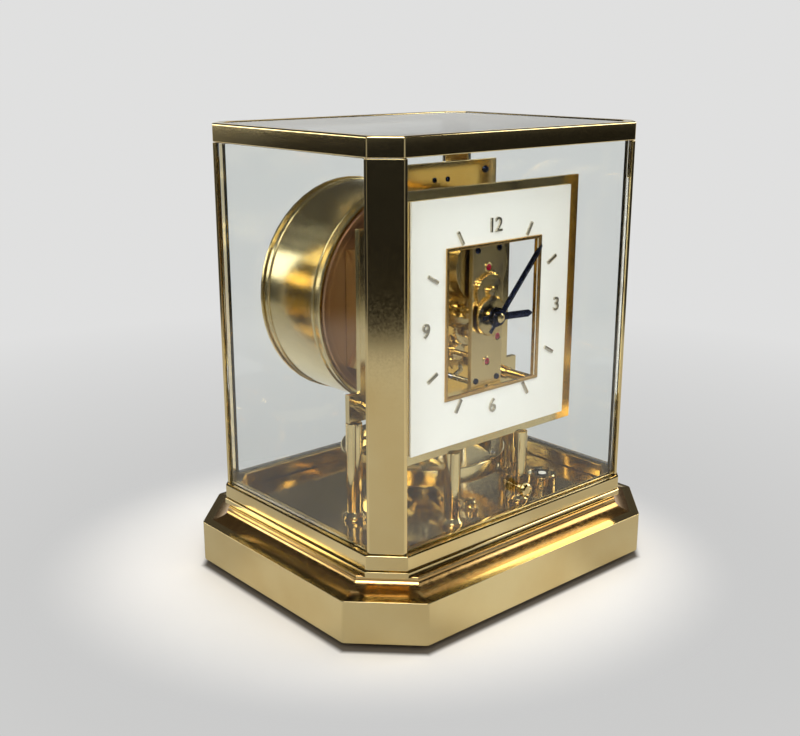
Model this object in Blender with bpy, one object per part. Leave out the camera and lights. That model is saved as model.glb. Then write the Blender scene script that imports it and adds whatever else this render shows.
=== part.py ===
"""Atmospheric clock: a glazed gilt cabinet around a movement that is wound by the air.

Metres, +Z up. The front faces -Y. The origin is on the surface that the clock stands on, under
the middle of the plinth. The hands show seven minutes past three.
"""

import math

import bmesh
import bpy
from mathutils import Vector

# Fits
SEAT_GAP = 0.0003
RUNNING_GAP = 0.0003
CUT_OVERRUN = 0.002
WELD_DISTANCE = 0.0000001

# Plinth and floor
PLINTH_WIDTH = 0.208
PLINTH_DEPTH = 0.172
PLINTH_CORNER = 0.0275
PLINTH_HEIGHT = 0.021
PLINTH_WALL = 0.005
PLINTH_WEB = 0.005
PLINTH_EDGE = 0.0008
FLANGE_WIDTH = 0.020
MOULDING_RISE = 0.0067
MOULDING_SETBACK = 0.0008
MOULDING_STEPS = 4
FLOOR_THICKNESS = 0.003
FLOOR_MARGIN = 0.0005
FLOOR_EDGE = 0.0005

# Feet
FOOT_STAND = 0.004
FOOT_FROM_FLOOR_EDGE = 0.012
FOOT_RADIUS = 0.007
FOOT_PAD_THICKNESS = 0.0028
FOOT_STEM_RADIUS = 0.003
FOOT_TRAVEL = 0.0015
FOOT_WHEEL_RADIUS = 0.0075
FOOT_WHEEL_THICKNESS = 0.004
FOOT_WHEEL_LIFT = 0.0016
FOOT_WHEEL_NOTCHES = 16
FOOT_NOTCH_DEPTH = 0.0006

# Cabinet frame and glass
FRAME_INSET = 0.0163
FRAME_EDGE = 0.0005
LOWER_FRAME_HEIGHT = 0.0074
LOWER_FRAME_PROUD = 0.0018
LOWER_CORNER_PROUD = 0.0008
RAIL_WIDTH = 0.007
POST_CORNER = 0.0112
POST_RETURN = 0.0018
POST_THICKNESS = 0.0034
POST_LENGTH = 0.1766
TOP_FRAME_HEIGHT = 0.009
TOP_RIM_WIDTH = 0.005
TOP_GLASS_THICKNESS = 0.004
TOP_GLASS_SINK = 0.0004
GLASS_THICKNESS = 0.0026
GLASS_SETBACK = 0.0012
DOOR_LIFT = 0.0045
DOOR_TOP_BITE = 0.001
DOOR_BOTTOM_BITE = 0.0015
DOOR_KNOB_RADIUS = 0.0035
DOOR_KNOB_LENGTH = 0.0065
DOOR_KNOB_HEIGHT = 0.0125

# Dial and plates, as the front shows them
DIAL_FROM_FLOOR = 0.0433
DIAL_FROM_TOP = 0.0215
DIAL_WIDTH = 0.1075
DIAL_THICKNESS = 0.0012
DIAL_SETBACK = 0.0184
DIAL_BORDER_SIDE = 0.0075
DIAL_BORDER_TOP = 0.0045
WINDOW_WIDTH = 0.0625
WINDOW_RELIEF = 0.0008
FRONT_PLATE_THICKNESS = 0.0024
PLATE_SPACING = 0.0341
BRIDGE_WIDTH = 0.021
BRIDGE_THICKNESS = 0.0026
BRIDGE_LAP = 0.0085
BACK_PLATE_INSIDE = 0.00325
BACK_PLATE_UNDER_PALLET = 0.0154
BACK_PLATE_FOOT_HEIGHT = 0.0145
BACK_PLATE_WAIST_INSIDE = 0.0072
BACK_PLATE_ABOVE = 0.043
BACK_PLATE_HEAD_WIDTH = 0.078
BACK_PLATE_FROM_TOP = 0.0101
BACK_PLATE_THICKNESS = 0.003
PILLAR_RADIUS = 0.0035
PILLAR_FROM_SIDE = 0.010
PILLAR_FROM_BELOW = 0.007
PILLAR_FROM_TOP = 0.0114
TOP_PILLAR_ASIDE = 0.030
LEG_RADIUS = 0.0042
LEG_FOOT_RADIUS = 0.0062
LEG_FOOT_HEIGHT = 0.004
FRONT_LEG_SPREAD = 0.048
REAR_LEG_FROM_SIDE = 0.004

# Motion work and hands
CANNON_MODULE = 0.0005
CANNON_TEETH = 12
MINUTE_WHEEL_TEETH = 36
MINUTE_PINION_TEETH = 12
HOUR_WHEEL_TEETH = 48
MOTION_WHEEL_THICKNESS = 0.0012
ARBOR_RADIUS = 0.0011
CANNON_WALL = 0.0008
HOUR_PIPE_WALL = 0.0008
HAND_THICKNESS = 0.0006
HAND_CLEARANCE = 0.0014
HAND_BOSS_WALL = 0.0014
HOUR_HAND_LENGTH = 0.0255
HOUR_HAND_WIDTH = 0.0036
MINUTE_HAND_LENGTH = 0.0435
MINUTE_HAND_WIDTH = 0.0032
HAND_TAIL = 0.009
HAND_TIP_WIDTH = 0.0008
HOUR_HAND_DEGREES = 93.5
MINUTE_HAND_DEGREES = 42.0

# Going train
TRAIN_MODULE = 0.0005
BARREL_MODULE = 0.00066
BARREL_TEETH = 60
CENTRE_PINION_TEETH = 12
CENTRE_WHEEL_TEETH = 36
THIRD_PINION_TEETH = 18
THIRD_WHEEL_TEETH = 36
ESCAPE_PINION_TEETH = 18
THIRD_OFFSET = 0.007
BARREL_DRUM_RADIUS = 0.0176
BARREL_DRUM_THICKNESS = 0.0095
BARREL_SET_IN = 0.0016
GREAT_WHEEL_THICKNESS = 0.002
WHEEL_THICKNESS = 0.0016
PINION_THICKNESS = 0.0028
LAYER_GAP = 0.0016
TRAIN_ARBOR_RADIUS = 0.0014
PIVOT_RADIUS = 0.0009
PIVOT_LENGTH = 0.0018
ESCAPE_TEETH = 15
ESCAPE_RADIUS = 0.0095
ESCAPE_TOOTH_DEPTH = 0.0022
ESCAPE_THICKNESS = 0.0012
PALLET_SPAN_DEGREES = 36.0
PALLET_PIVOT_DISTANCE = 0.0135
PALLET_WIDTH = 0.0012
FORK_TAIL_LENGTH = 0.0140
FORK_THICKNESS = 0.0016
FORK_ARM_WIDTH = 0.0022

# Balance
BALANCE_BEHIND_PLATE = 0.0085
BALANCE_CLEARANCE = 0.0165
BALANCE_SWING_GAP = 0.0054
BALANCE_RING_WIDTH = 0.0070
BALANCE_RING_HEIGHT = 0.009
BALANCE_SPOKE_WIDTH = 0.004
BALANCE_SPOKE_HEIGHT = 0.0025
BALANCE_HUB_RADIUS = 0.0065
BALANCE_SPOKES = 4
STAFF_RADIUS = 0.002
STAFF_FOOT = 0.002
STAFF_ABOVE_ROLLER = 0.016
ROLLER_RADIUS = 0.0075
ROLLER_THICKNESS = 0.0016
IMPULSE_RADIUS = 0.0062
IMPULSE_PIN_RADIUS = 0.0006
IMPULSE_PIN_LENGTH = 0.0026
FORK_PIN_GAP = 0.0009
FORK_PIN_BITE = 0.00035
WIRE_RADIUS = 0.00035
SUSPENSION_WIDTH = 0.014
SUSPENSION_HEIGHT = 0.007
SUSPENSION_DROP = 0.005
SUSPENSION_LAP = 0.0055

# Lock
LOCK_LIFT = 0.0022
LOCK_TABLE_RADIUS = 0.0085
LOCK_TABLE_THICKNESS = 0.002
LOCK_STEM_RADIUS = 0.0032
LOCK_STEM_LENGTH = 0.006
LOCK_BOSS_RADIUS = 0.012
LOCK_BOSS_THICKNESS = 0.0026
LOCK_NECK_RADIUS = 0.007
LOCK_HUB_WALL = 0.0035
LOCK_LEVER_THICKNESS = 0.0026
LOCK_LEVER_REACH = 0.056
LOCK_LEVER_WIDTH = 0.0042
LOCK_GRIP_RADIUS = 0.0036
LOCK_REST_DEGREES = 15.0

# Spirit level
LEVEL_INSIDE_LEG = 0.002
LEVEL_BEFORE_LEG = 0.028
LEVEL_RADIUS = 0.0085
LEVEL_HEIGHT = 0.005
LEVEL_WALL = 0.0012
LEVEL_FLOOR = 0.0015

# Bellows
DRUM_BEHIND_BALANCE = 0.0105
DRUM_RADIUS = 0.0577
DRUM_FROM_REAR_GLASS = 0.0054
DRUM_WALL = 0.0016
DRUM_FACE = 0.002
DRUM_LIP = 0.0006
DRUM_COVER_THICKNESS = 0.0022
DRUM_COVER_LAP = 0.0012
DRUM_BRACKET_WIDTH = 0.012
DRUM_BRACKET_HEIGHT = 0.060
DRUM_BRACKET_FROM_SIDE = 0.022
CHAIN_HOLE_RADIUS = 0.004
CHAIN_OFFSET = 0.0065
CHAIN_RADIUS = 0.0008
SPRING_RADIUS = 0.024
SPRING_WIRE_RADIUS = 0.0011
SPRING_PITCH = 0.0042
SPRING_POINTS_A_TURN = 10
PRESSURE_PLATE_THICKNESS = 0.0024
PRESSURE_PLATE_RADIUS = 0.047
CAPSULE_RADIUS = 0.050
CAPSULE_FOLD_DEPTH = 0.0055
CAPSULE_FOLD_PITCH = 0.007
CAPSULE_WALL = 0.0008

# Winding pulley and click
PULLEY_GROOVE_RADIUS = 0.0052
PULLEY_FLANGE_RADIUS = 0.007
PULLEY_WIDTH = 0.0044
PULLEY_FLANGE_THICKNESS = 0.0009
PULLEY_ARBOR_RADIUS = 0.0012
RATCHET_TEETH = 14
RATCHET_RADIUS = 0.0062
RATCHET_TOOTH_DEPTH = 0.0009
RATCHET_THICKNESS = 0.0016
EAR_THICKNESS = 0.003
EAR_MARGIN = 0.003
CLICK_HUB_RADIUS = 0.0017
CLICK_PIN_RADIUS = 0.0009
CLICK_DROP = 0.0048
CLICK_TIP_DEGREES = 22.0

# How finely round pieces are cut
FINE_SIDES = 48
MEDIUM_SIDES = 28
SMALL_SIDES = 12
WIRE_SIDES = 6
SHARP_DEGREES = 35.0

# Shares of a parallel step that a cut corner's leg and its diagonal take
CORNER_STEP_SHARE = 2.0 - math.sqrt(2.0)
DIAGONAL_SHARE = math.sqrt(2.0)

# Shares of the dial's height that its window takes, and of the drum's depth that its spring takes
WINDOW_HEIGHT_SHARE = 0.5943
SPRING_DEPTH_SHARE = 0.3083

# Shares of a tooth: its height over and under the pitch circle in modules, and its half widths
TOOTH_TIP_SHARE = 0.85
TOOTH_ROOT_SHARE = 1.3
TOOTH_TIP_WIDTH_SHARE = 0.10
TOOTH_ROOT_WIDTH_SHARE = 0.25

# Heights, from the surface upwards
z_plinth_top = FOOT_STAND + PLINTH_HEIGHT
z_shelf = z_plinth_top + MOULDING_RISE
z_web = z_shelf - PLINTH_WEB
z_floor = z_shelf + SEAT_GAP + FLOOR_THICKNESS
z_lower_frame = z_floor + SEAT_GAP
z_lower_frame_top = z_lower_frame + LOWER_FRAME_HEIGHT
z_post = z_lower_frame_top + SEAT_GAP
z_post_top = z_post + POST_LENGTH
z_top_frame = z_post_top + SEAT_GAP
z_top = z_top_frame + TOP_FRAME_HEIGHT
z_dial_bottom = z_floor + DIAL_FROM_FLOOR
dial_height = z_post_top - DIAL_FROM_TOP - z_dial_bottom
window_height = dial_height * WINDOW_HEIGHT_SHARE
z_dial = z_dial_bottom + dial_height / 2

# Half sizes of the cabinet frame
frame_x = PLINTH_WIDTH / 2 - FRAME_INSET
frame_y = PLINTH_DEPTH / 2 - FRAME_INSET

# Depths, from the front glass backwards
y_glass_outer = -(frame_y - GLASS_SETBACK)
y_glass_inner = y_glass_outer + GLASS_THICKNESS
y_dial_front = y_glass_inner + DIAL_SETBACK
y_dial_back = y_dial_front + DIAL_THICKNESS
y_front_plate = y_dial_back + SEAT_GAP
y_front_plate_back = y_front_plate + FRONT_PLATE_THICKNESS
y_bridge = y_front_plate_back + SEAT_GAP
y_bridge_back = y_bridge + BRIDGE_THICKNESS
y_back_plate = y_front_plate_back + PLATE_SPACING
y_back_plate_rear = y_back_plate + BACK_PLATE_THICKNESS
y_balance = y_back_plate_rear + BALANCE_BEHIND_PLATE
y_drum = y_balance + DRUM_BEHIND_BALANCE
y_rear_glass_inner = -y_glass_inner
y_drum_rear = y_rear_glass_inner - DRUM_FROM_REAR_GLASS
spring_length = (y_drum_rear - y_drum) * SPRING_DEPTH_SHARE

# Radii of the shafts that run one inside another
cannon_inner = ARBOR_RADIUS + RUNNING_GAP
cannon_outer = cannon_inner + CANNON_WALL
pipe_inner = cannon_outer + RUNNING_GAP
pipe_outer = pipe_inner + HOUR_PIPE_WALL

# Layers of the train, from the bridge backwards
y_barrel = y_bridge_back + BARREL_SET_IN
y_great_wheel = y_barrel + BARREL_DRUM_THICKNESS
y_centre_pinion = y_great_wheel - (PINION_THICKNESS - GREAT_WHEEL_THICKNESS) / 2
y_centre_wheel = y_great_wheel + GREAT_WHEEL_THICKNESS + LAYER_GAP
y_third_pinion = y_centre_wheel - (PINION_THICKNESS - WHEEL_THICKNESS) / 2
y_third_wheel = y_centre_wheel + WHEEL_THICKNESS + LAYER_GAP
y_escape_pinion = y_third_wheel - (PINION_THICKNESS - WHEEL_THICKNESS) / 2
y_escape_wheel = y_third_wheel + WHEEL_THICKNESS + LAYER_GAP

# Centre distances and places of the arbors, from the dial's centre
barrel_distance = BARREL_MODULE * (BARREL_TEETH + CENTRE_PINION_TEETH) / 2
third_distance = TRAIN_MODULE * (CENTRE_WHEEL_TEETH + THIRD_PINION_TEETH) / 2
escape_distance = TRAIN_MODULE * (THIRD_WHEEL_TEETH + ESCAPE_PINION_TEETH) / 2
motion_distance = CANNON_MODULE * (CANNON_TEETH + MINUTE_WHEEL_TEETH) / 2
hour_module = 2 * motion_distance / (MINUTE_PINION_TEETH + HOUR_WHEEL_TEETH)
third_drop = math.sqrt(third_distance**2 - THIRD_OFFSET**2)
escape_drop = third_drop + math.sqrt(escape_distance**2 - THIRD_OFFSET**2)
z_barrel = z_dial + barrel_distance
z_third = z_dial - third_drop
z_escape = z_dial - escape_drop
z_pallet = z_escape - PALLET_PIVOT_DISTANCE
z_minute_wheel = z_dial + motion_distance

# Balance, from the floor upwards
z_balance = z_floor + BALANCE_CLEARANCE
z_staff_foot = z_balance - STAFF_FOOT
z_fork_tail = z_pallet - FORK_TAIL_LENGTH
z_roller = z_fork_tail - RUNNING_GAP - ROLLER_THICKNESS
z_staff_top = z_roller + STAFF_ABOVE_ROLLER
z_back_plate = z_pallet - BACK_PLATE_UNDER_PALLET
z_back_plate_top = z_post_top - BACK_PLATE_FROM_TOP
z_suspension = z_back_plate_top - SUSPENSION_DROP - SUSPENSION_HEIGHT

# Half widths of the plates, and where their pillars and the rear legs stand
front_plate_x = DIAL_WIDTH / 2 + DIAL_BORDER_SIDE
front_plate_z = dial_height / 2 + DIAL_BORDER_TOP
back_plate_x = front_plate_x - BACK_PLATE_INSIDE
pillar_x = back_plate_x - PILLAR_FROM_SIDE
rear_leg_x = back_plate_x - REAR_LEG_FROM_SIDE

# Front and rear legs: the balance ring keeps clear of the nearer pair and of the rear glass
y_front_leg = (y_front_plate + y_front_plate_back) / 2
y_rear_leg = (y_back_plate + y_back_plate_rear) / 2
rear_leg_reach = math.hypot(rear_leg_x, y_balance - y_rear_leg)
front_leg_reach = math.hypot(FRONT_LEG_SPREAD / 2, y_balance - y_front_leg)
rear_glass_reach = y_rear_glass_inner - y_balance
leg_reach = min(rear_leg_reach, front_leg_reach) - LEG_RADIUS
balance_radius = min(leg_reach, rear_glass_reach) - BALANCE_SWING_GAP

# Spirit level, between the front and the rear leg
x_level = rear_leg_x - LEVEL_INSIDE_LEG
y_level = y_rear_leg - LEVEL_BEFORE_LEG

# Pulley: the chain leaves it level with the dial's centre
chain_radius_on_pulley = PULLEY_GROOVE_RADIUS + RUNNING_GAP + CHAIN_RADIUS
z_pulley = z_dial - chain_radius_on_pulley
y_pulley = (y_back_plate_rear + y_drum) / 2 - SEAT_GAP
x_pulley = CHAIN_OFFSET - PULLEY_WIDTH / 2
x_ratchet = x_pulley + PULLEY_WIDTH
x_ear = x_ratchet + RATCHET_THICKNESS + RUNNING_GAP

MATERIALS = {
    "gilt": ((0.83, 0.62, 0.27), 0.16, 1.0),
    "copper": ((0.72, 0.36, 0.2), 0.25, 1.0),
    "steel": ((0.6, 0.6, 0.62), 0.28, 1.0),
    "blued_steel": ((0.03, 0.04, 0.09), 0.3, 1.0),
    "dial_white": ((0.93, 0.92, 0.88), 0.45, 0.0),
    "glass": ((0.86, 0.93, 0.9), 0.03, 0.0),
}


def material(name):
    """The named material, made when it is first asked for."""
    if name in bpy.data.materials:
        return bpy.data.materials[name]
    colour, roughness, metallic = MATERIALS[name]
    made = bpy.data.materials.new(name)
    made.use_nodes = True
    shader = made.node_tree.nodes["Principled BSDF"]
    shader.inputs["Base Color"].default_value = (*colour, 1.0)
    shader.inputs["Roughness"].default_value = roughness
    shader.inputs["Metallic"].default_value = metallic
    if name == "glass":
        shader.inputs["Transmission Weight"].default_value = 1.0
    return made


def place(shape, name, finish, origin=(0, 0, 0), smooth=True):
    """Turns a bmesh, whose vertices are relative to origin, into a named object."""
    bmesh.ops.remove_doubles(shape, verts=shape.verts, dist=WELD_DISTANCE)
    bmesh.ops.recalc_face_normals(shape, faces=shape.faces)
    mesh = bpy.data.meshes.new(name)
    shape.to_mesh(mesh)
    shape.free()
    if smooth:
        mesh.shade_smooth()
        mesh.set_sharp_from_angle(angle=math.radians(SHARP_DEGREES))
    mesh.materials.append(material(finish))
    made = bpy.data.objects.new(name, mesh)
    made.location = origin
    bpy.context.collection.objects.link(made)
    return made


def combine(target, other, operation="UNION"):
    """Joins or cuts with a hidden tool object, by an exact Boolean modifier."""
    other.hide_render = True
    other.hide_viewport = True
    other.display_type = "WIRE"
    modifier = target.modifiers.new(f"{operation.lower()}_{other.name}", "BOOLEAN")
    modifier.operation = operation
    modifier.solver = "EXACT"
    modifier.object = other
    return target


def settle(target):
    """Applies an object's modifiers, and removes the tools that they used."""
    tools = [m.object for m in target.modifiers if m.type == "BOOLEAN"]
    bpy.context.view_layer.update()
    graph = bpy.context.evaluated_depsgraph_get()
    mesh = bpy.data.meshes.new_from_object(target.evaluated_get(graph))
    target.modifiers.clear()
    target.data = mesh
    for tool in tools:
        bpy.data.objects.remove(tool)
    return target


def on_axis(axis, across, up, along):
    """A point from its two coordinates across an axis and its place along it."""
    return {"X": (along, across, up), "Y": (across, along, up), "Z": (across, up, along)}[axis]


def prism(outline, axis, low, high):
    """A bmesh of a flat outline drawn out along an axis."""
    shape = bmesh.new()
    corners = [shape.verts.new(on_axis(axis, u, v, low)) for u, v in outline]
    face = shape.faces.new(corners)
    drawn = bmesh.ops.extrude_face_region(shape, geom=[face])
    moved = [v for v in drawn["geom"] if isinstance(v, bmesh.types.BMVert)]
    bmesh.ops.translate(shape, verts=moved, vec=Vector(on_axis(axis, 0, 0, high - low)))
    return shape


def turned(profile, axis, sides, ring=False):
    """A bmesh of a profile of (radius, place along the axis) spun once around.

    A plain profile starts and ends on the axis; a ring's profile closes on itself.
    """
    shape = bmesh.new()
    points = [shape.verts.new(on_axis(axis, radius, 0, along)) for radius, along in profile]
    pairs = list(zip(points, points[1:]))
    if ring:
        pairs.append((points[-1], points[0]))
    edges = [shape.edges.new(pair) for pair in pairs]
    bmesh.ops.spin(
        shape,
        geom=points + edges,
        cent=(0, 0, 0),
        axis=on_axis(axis, 0, 0, 1),
        angle=2 * math.pi,
        steps=sides,
        use_merge=True,
    )
    return shape


def disc_profile(radius, low, high):
    """Profile of a plain disc or rod."""
    return [(0, low), (radius, low), (radius, high), (0, high)]


def rod_tool(name, axis, radius, low, high, centre, sides=SMALL_SIDES):
    """A plain rod as a tool for a Boolean."""
    return place(turned(disc_profile(radius, low, high), axis, sides), name, "steel", centre)


def box_tool(name, low, high):
    """A box as a tool for a Boolean."""
    return place(box(low, high), name, "steel")


def box(low, high):
    """A bmesh box between two corners."""
    outline = [(low[0], low[1]), (high[0], low[1]), (high[0], high[1]), (low[0], high[1])]
    return prism(outline, "Z", low[2], high[2])


def cut_corners(half_x, half_y, leg):
    """Outline of a rectangle with cut corners, anticlockwise from the front edge's left end."""
    return [
        (-half_x + leg, -half_y),
        (half_x - leg, -half_y),
        (half_x, -half_y + leg),
        (half_x, half_y - leg),
        (half_x - leg, half_y),
        (-half_x + leg, half_y),
        (-half_x, half_y - leg),
        (-half_x, -half_y + leg),
    ]


def stepped_in(outline, inset):
    """Half sizes and leg of a cut-corner outline, moved inwards all round."""
    half_x, half_y, leg = outline
    return half_x - inset, half_y - inset, leg - CORNER_STEP_SHARE * inset


def stacked(stations, ring):
    """A bmesh through cut-corner outlines at their heights, capped or closed as a ring."""
    shape = bmesh.new()
    loops = []
    for (half_x, half_y, leg), height in stations:
        loops.append([shape.verts.new((x, y, height)) for x, y in cut_corners(half_x, half_y, leg)])
    joined = list(zip(loops, loops[1:]))
    if ring:
        joined.append((loops[-1], loops[0]))
    else:
        shape.faces.new(loops[0])
        shape.faces.new(loops[-1])
    for lower, upper in joined:
        for i in range(len(lower)):
            j = (i + 1) % len(lower)
            shape.faces.new((lower[i], lower[j], upper[j], upper[i]))
    return shape


def circle_points(radius, count, centre=(0, 0), start=0.0):
    """Points evenly round a circle."""
    step = 2 * math.pi / count
    return [
        (centre[0] + radius * math.cos(start + i * step), centre[1] + radius * math.sin(start + i * step))
        for i in range(count)
    ]


def gear_outline(teeth, module, phase):
    """Outline of a spur gear with one tooth's middle at the phase angle."""
    pitch = 2 * math.pi / teeth
    root = module * (teeth / 2 - TOOTH_ROOT_SHARE)
    tip = module * (teeth / 2 + TOOTH_TIP_SHARE)
    corners = (
        (root, -TOOTH_ROOT_WIDTH_SHARE),
        (tip, -TOOTH_TIP_WIDTH_SHARE),
        (tip, TOOTH_TIP_WIDTH_SHARE),
        (root, TOOTH_ROOT_WIDTH_SHARE),
    )
    return [
        (radius * math.cos(phase + (i + share) * pitch), radius * math.sin(phase + (i + share) * pitch))
        for i in range(teeth)
        for radius, share in corners
    ]


def meshed_phase(phase, teeth, other_teeth, direction):
    """Phase of a gear that meshes with one of the given phase, lying in that direction from it."""
    pitch = 2 * math.pi / teeth
    other_pitch = 2 * math.pi / other_teeth
    return direction + math.pi - other_pitch * ((phase - direction) / pitch + 1 / 2)


def saw_outline(teeth, tip, depth, lean_share, phase=0.0):
    """Outline of a wheel with pointed, leaning teeth: an escape or a ratchet wheel."""
    pitch = 2 * math.pi / teeth
    points = []
    for i in range(teeth):
        start = phase + i * pitch
        points.append((tip * math.cos(start), tip * math.sin(start)))
        after = start + lean_share * pitch
        points.append(((tip - depth) * math.cos(after), (tip - depth) * math.sin(after)))
    return points


# Cabinet


floor_outline = (
    frame_x + LOWER_FRAME_PROUD + FLOOR_MARGIN,
    frame_y + LOWER_FRAME_PROUD + FLOOR_MARGIN,
    POST_CORNER
    + 2 * LOWER_FRAME_PROUD
    - DIAGONAL_SHARE * LOWER_CORNER_PROUD
    + CORNER_STEP_SHARE * FLOOR_MARGIN,
)
lower_outline = stepped_in(floor_outline, FLOOR_MARGIN)
frame_outline = (frame_x, frame_y, POST_CORNER)
foot_inset = FRAME_INSET - LOWER_FRAME_PROUD - FLOOR_MARGIN + FOOT_FROM_FLOOR_EDGE
foot_x = PLINTH_WIDTH / 2 - foot_inset
foot_y = PLINTH_DEPTH / 2 - foot_inset


def base_plinth():
    """Hollow plinth: a wall, a hollow moulding over it, and a flange that carries the floor."""
    outer = (PLINTH_WIDTH / 2, PLINTH_DEPTH / 2, PLINTH_CORNER)
    shelf = stepped_in(floor_outline, MOULDING_SETBACK)
    stations = [
        (stepped_in(outer, PLINTH_EDGE), FOOT_STAND),
        (outer, FOOT_STAND + PLINTH_EDGE),
        (outer, z_plinth_top - PLINTH_EDGE),
        (stepped_in(outer, PLINTH_EDGE), z_plinth_top),
    ]
    start = stations[-1][0]
    for i in range(1, MOULDING_STEPS + 1):
        turn = math.pi / 2 * i / MOULDING_STEPS
        share = math.sin(turn)
        blend = tuple(a + (b - a) * share for a, b in zip(start, shelf))
        stations.append((blend, z_plinth_top + MOULDING_RISE * (1 - math.cos(turn))))
    inner = stepped_in(floor_outline, FLANGE_WIDTH)
    stations.append((inner, z_shelf))
    stations.append((inner, z_web))
    stations.append((stepped_in(shelf, PLINTH_WALL), z_web))
    stations.append((stepped_in(outer, PLINTH_WALL), z_plinth_top - PLINTH_WALL))
    stations.append((stepped_in(outer, PLINTH_WALL), FOOT_STAND))
    plinth = place(stacked(stations, ring=True), "base_plinth", "gilt")
    for side in (-1, 1):
        hole = rod_tool(
            f"foot_hole_{side}",
            "Z",
            FOOT_STEM_RADIUS + RUNNING_GAP,
            z_plinth_top - PLINTH_WALL - CUT_OVERRUN,
            z_shelf + CUT_OVERRUN,
            (side * foot_x, -foot_y, 0),
        )
        combine(plinth, hole, "DIFFERENCE")
    return settle(plinth)


def floor_plate():
    """Polished floor of the cabinet, with its edge broken at the top."""
    low = z_shelf + SEAT_GAP
    stations = [
        (floor_outline, low),
        (floor_outline, z_floor - FLOOR_EDGE),
        (stepped_in(floor_outline, FLOOR_EDGE), z_floor),
    ]
    return place(stacked(stations, ring=False), "floor_plate", "gilt")


def door_groove(low, high):
    """The tool that cuts the front glass's groove between two heights."""
    half = door_half_width() + RUNNING_GAP
    corner = (-half, y_glass_outer - RUNNING_GAP, low)
    return box_tool(f"door_groove_{low:.3f}", corner, (half, y_glass_inner + RUNNING_GAP, high))


def door_half_width():
    """Half width of the front and rear glass, between the posts."""
    return frame_x - POST_CORNER - POST_RETURN - SEAT_GAP


def lower_frame():
    """Lower frame of the cabinet, standing proud of the posts, grooved for the front glass."""
    inner = stepped_in(lower_outline, LOWER_FRAME_PROUD + RAIL_WIDTH)
    stations = [
        (lower_outline, z_lower_frame),
        (lower_outline, z_lower_frame_top - FRAME_EDGE),
        (stepped_in(lower_outline, FRAME_EDGE), z_lower_frame_top),
        (inner, z_lower_frame_top),
        (inner, z_lower_frame),
    ]
    frame = place(stacked(stations, ring=True), "lower_frame", "gilt")
    groove = door_groove(
        z_lower_frame_top - DOOR_BOTTOM_BITE - SEAT_GAP,
        z_lower_frame_top + CUT_OVERRUN,
    )
    return settle(combine(frame, groove, "DIFFERENCE"))


def top_frame():
    """Top frame: a rim around the top glass, a seat under it, a groove for the front glass."""
    seat = z_top - TOP_GLASS_SINK - TOP_GLASS_THICKNESS - SEAT_GAP
    rim = stepped_in(frame_outline, TOP_RIM_WIDTH)
    inner = stepped_in(frame_outline, RAIL_WIDTH)
    stations = [
        (frame_outline, z_top_frame),
        (frame_outline, z_top - FRAME_EDGE),
        (stepped_in(frame_outline, FRAME_EDGE), z_top),
        (rim, z_top),
        (rim, seat),
        (inner, seat),
        (inner, z_top_frame),
    ]
    frame = place(stacked(stations, ring=True), "top_frame", "gilt")
    depth = DOOR_TOP_BITE + DOOR_LIFT + RUNNING_GAP
    groove = door_groove(z_top_frame - CUT_OVERRUN, z_top_frame + depth)
    return settle(combine(frame, groove, "DIFFERENCE"))


def post(name, side_x, side_y):
    """One corner post: a bent strip behind a wide cut-corner face."""
    bend = POST_CORNER + (DIAGONAL_SHARE - 1) * POST_THICKNESS
    reach = POST_CORNER + POST_RETURN
    section = [
        (0, POST_CORNER),
        (POST_CORNER, 0),
        (reach, 0),
        (reach, POST_THICKNESS),
        (bend, POST_THICKNESS),
        (POST_THICKNESS, bend),
        (POST_THICKNESS, reach),
        (0, reach),
    ]
    outline = [(side_x * (frame_x - u), side_y * (frame_y - v)) for u, v in section]
    return place(prism(outline, "Z", z_post, z_post_top), name, "gilt")


def top_glass():
    """Top glass, laid in the top frame's rebate."""
    outline = stepped_in(frame_outline, TOP_RIM_WIDTH + SEAT_GAP)
    high = z_top - TOP_GLASS_SINK
    stations = [(outline, high - TOP_GLASS_THICKNESS), (outline, high)]
    return place(stacked(stations, ring=False), "top_glass", "glass")


def side_glass(name, side):
    """Left or right glass, standing between the posts and the two frames."""
    outer = frame_x - GLASS_SETBACK
    half = frame_y - POST_CORNER - POST_RETURN - SEAT_GAP
    ends = sorted((side * outer, side * (outer - GLASS_THICKNESS)))
    low = (ends[0], -half, z_lower_frame_top + SEAT_GAP)
    return place(box(low, (ends[1], half, z_top_frame - SEAT_GAP)), name, "glass")


def rear_glass():
    """Rear glass, standing between the rear posts."""
    half = door_half_width()
    outer = frame_y - GLASS_SETBACK
    low = (-half, outer - GLASS_THICKNESS, z_lower_frame_top + SEAT_GAP)
    return place(box(low, (half, outer, z_top_frame - SEAT_GAP)), "rear_glass", "glass")


def front_glass():
    """Front glass: it stands in the lower groove and reaches into the upper one."""
    half = door_half_width()
    low = z_lower_frame_top - DOOR_BOTTOM_BITE
    high = z_top_frame + DOOR_TOP_BITE
    origin = (0, y_glass_outer, low)
    shape = box((-half, 0, 0), (half, GLASS_THICKNESS, high - low))
    return place(shape, "front_glass", "glass", origin)


def front_knob():
    """Small turned knob low on the front glass, by which it is lifted."""
    length = DOOR_KNOB_LENGTH
    radius = DOOR_KNOB_RADIUS
    neck_share, swell_share = 0.6, 0.45
    profile = [
        (0, 0),
        (radius, 0),
        (radius * neck_share, -length * swell_share / 2),
        (radius * neck_share, -length * swell_share),
        (radius, -length * (1 + swell_share) / 2),
        (radius * neck_share, -length),
        (0, -length),
    ]
    centre = (0, y_glass_outer - SEAT_GAP, z_lower_frame_top + DOOR_KNOB_HEIGHT)
    return place(turned(profile, "Y", SMALL_SIDES), "front_knob", "gilt", centre)


# Feet


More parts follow.
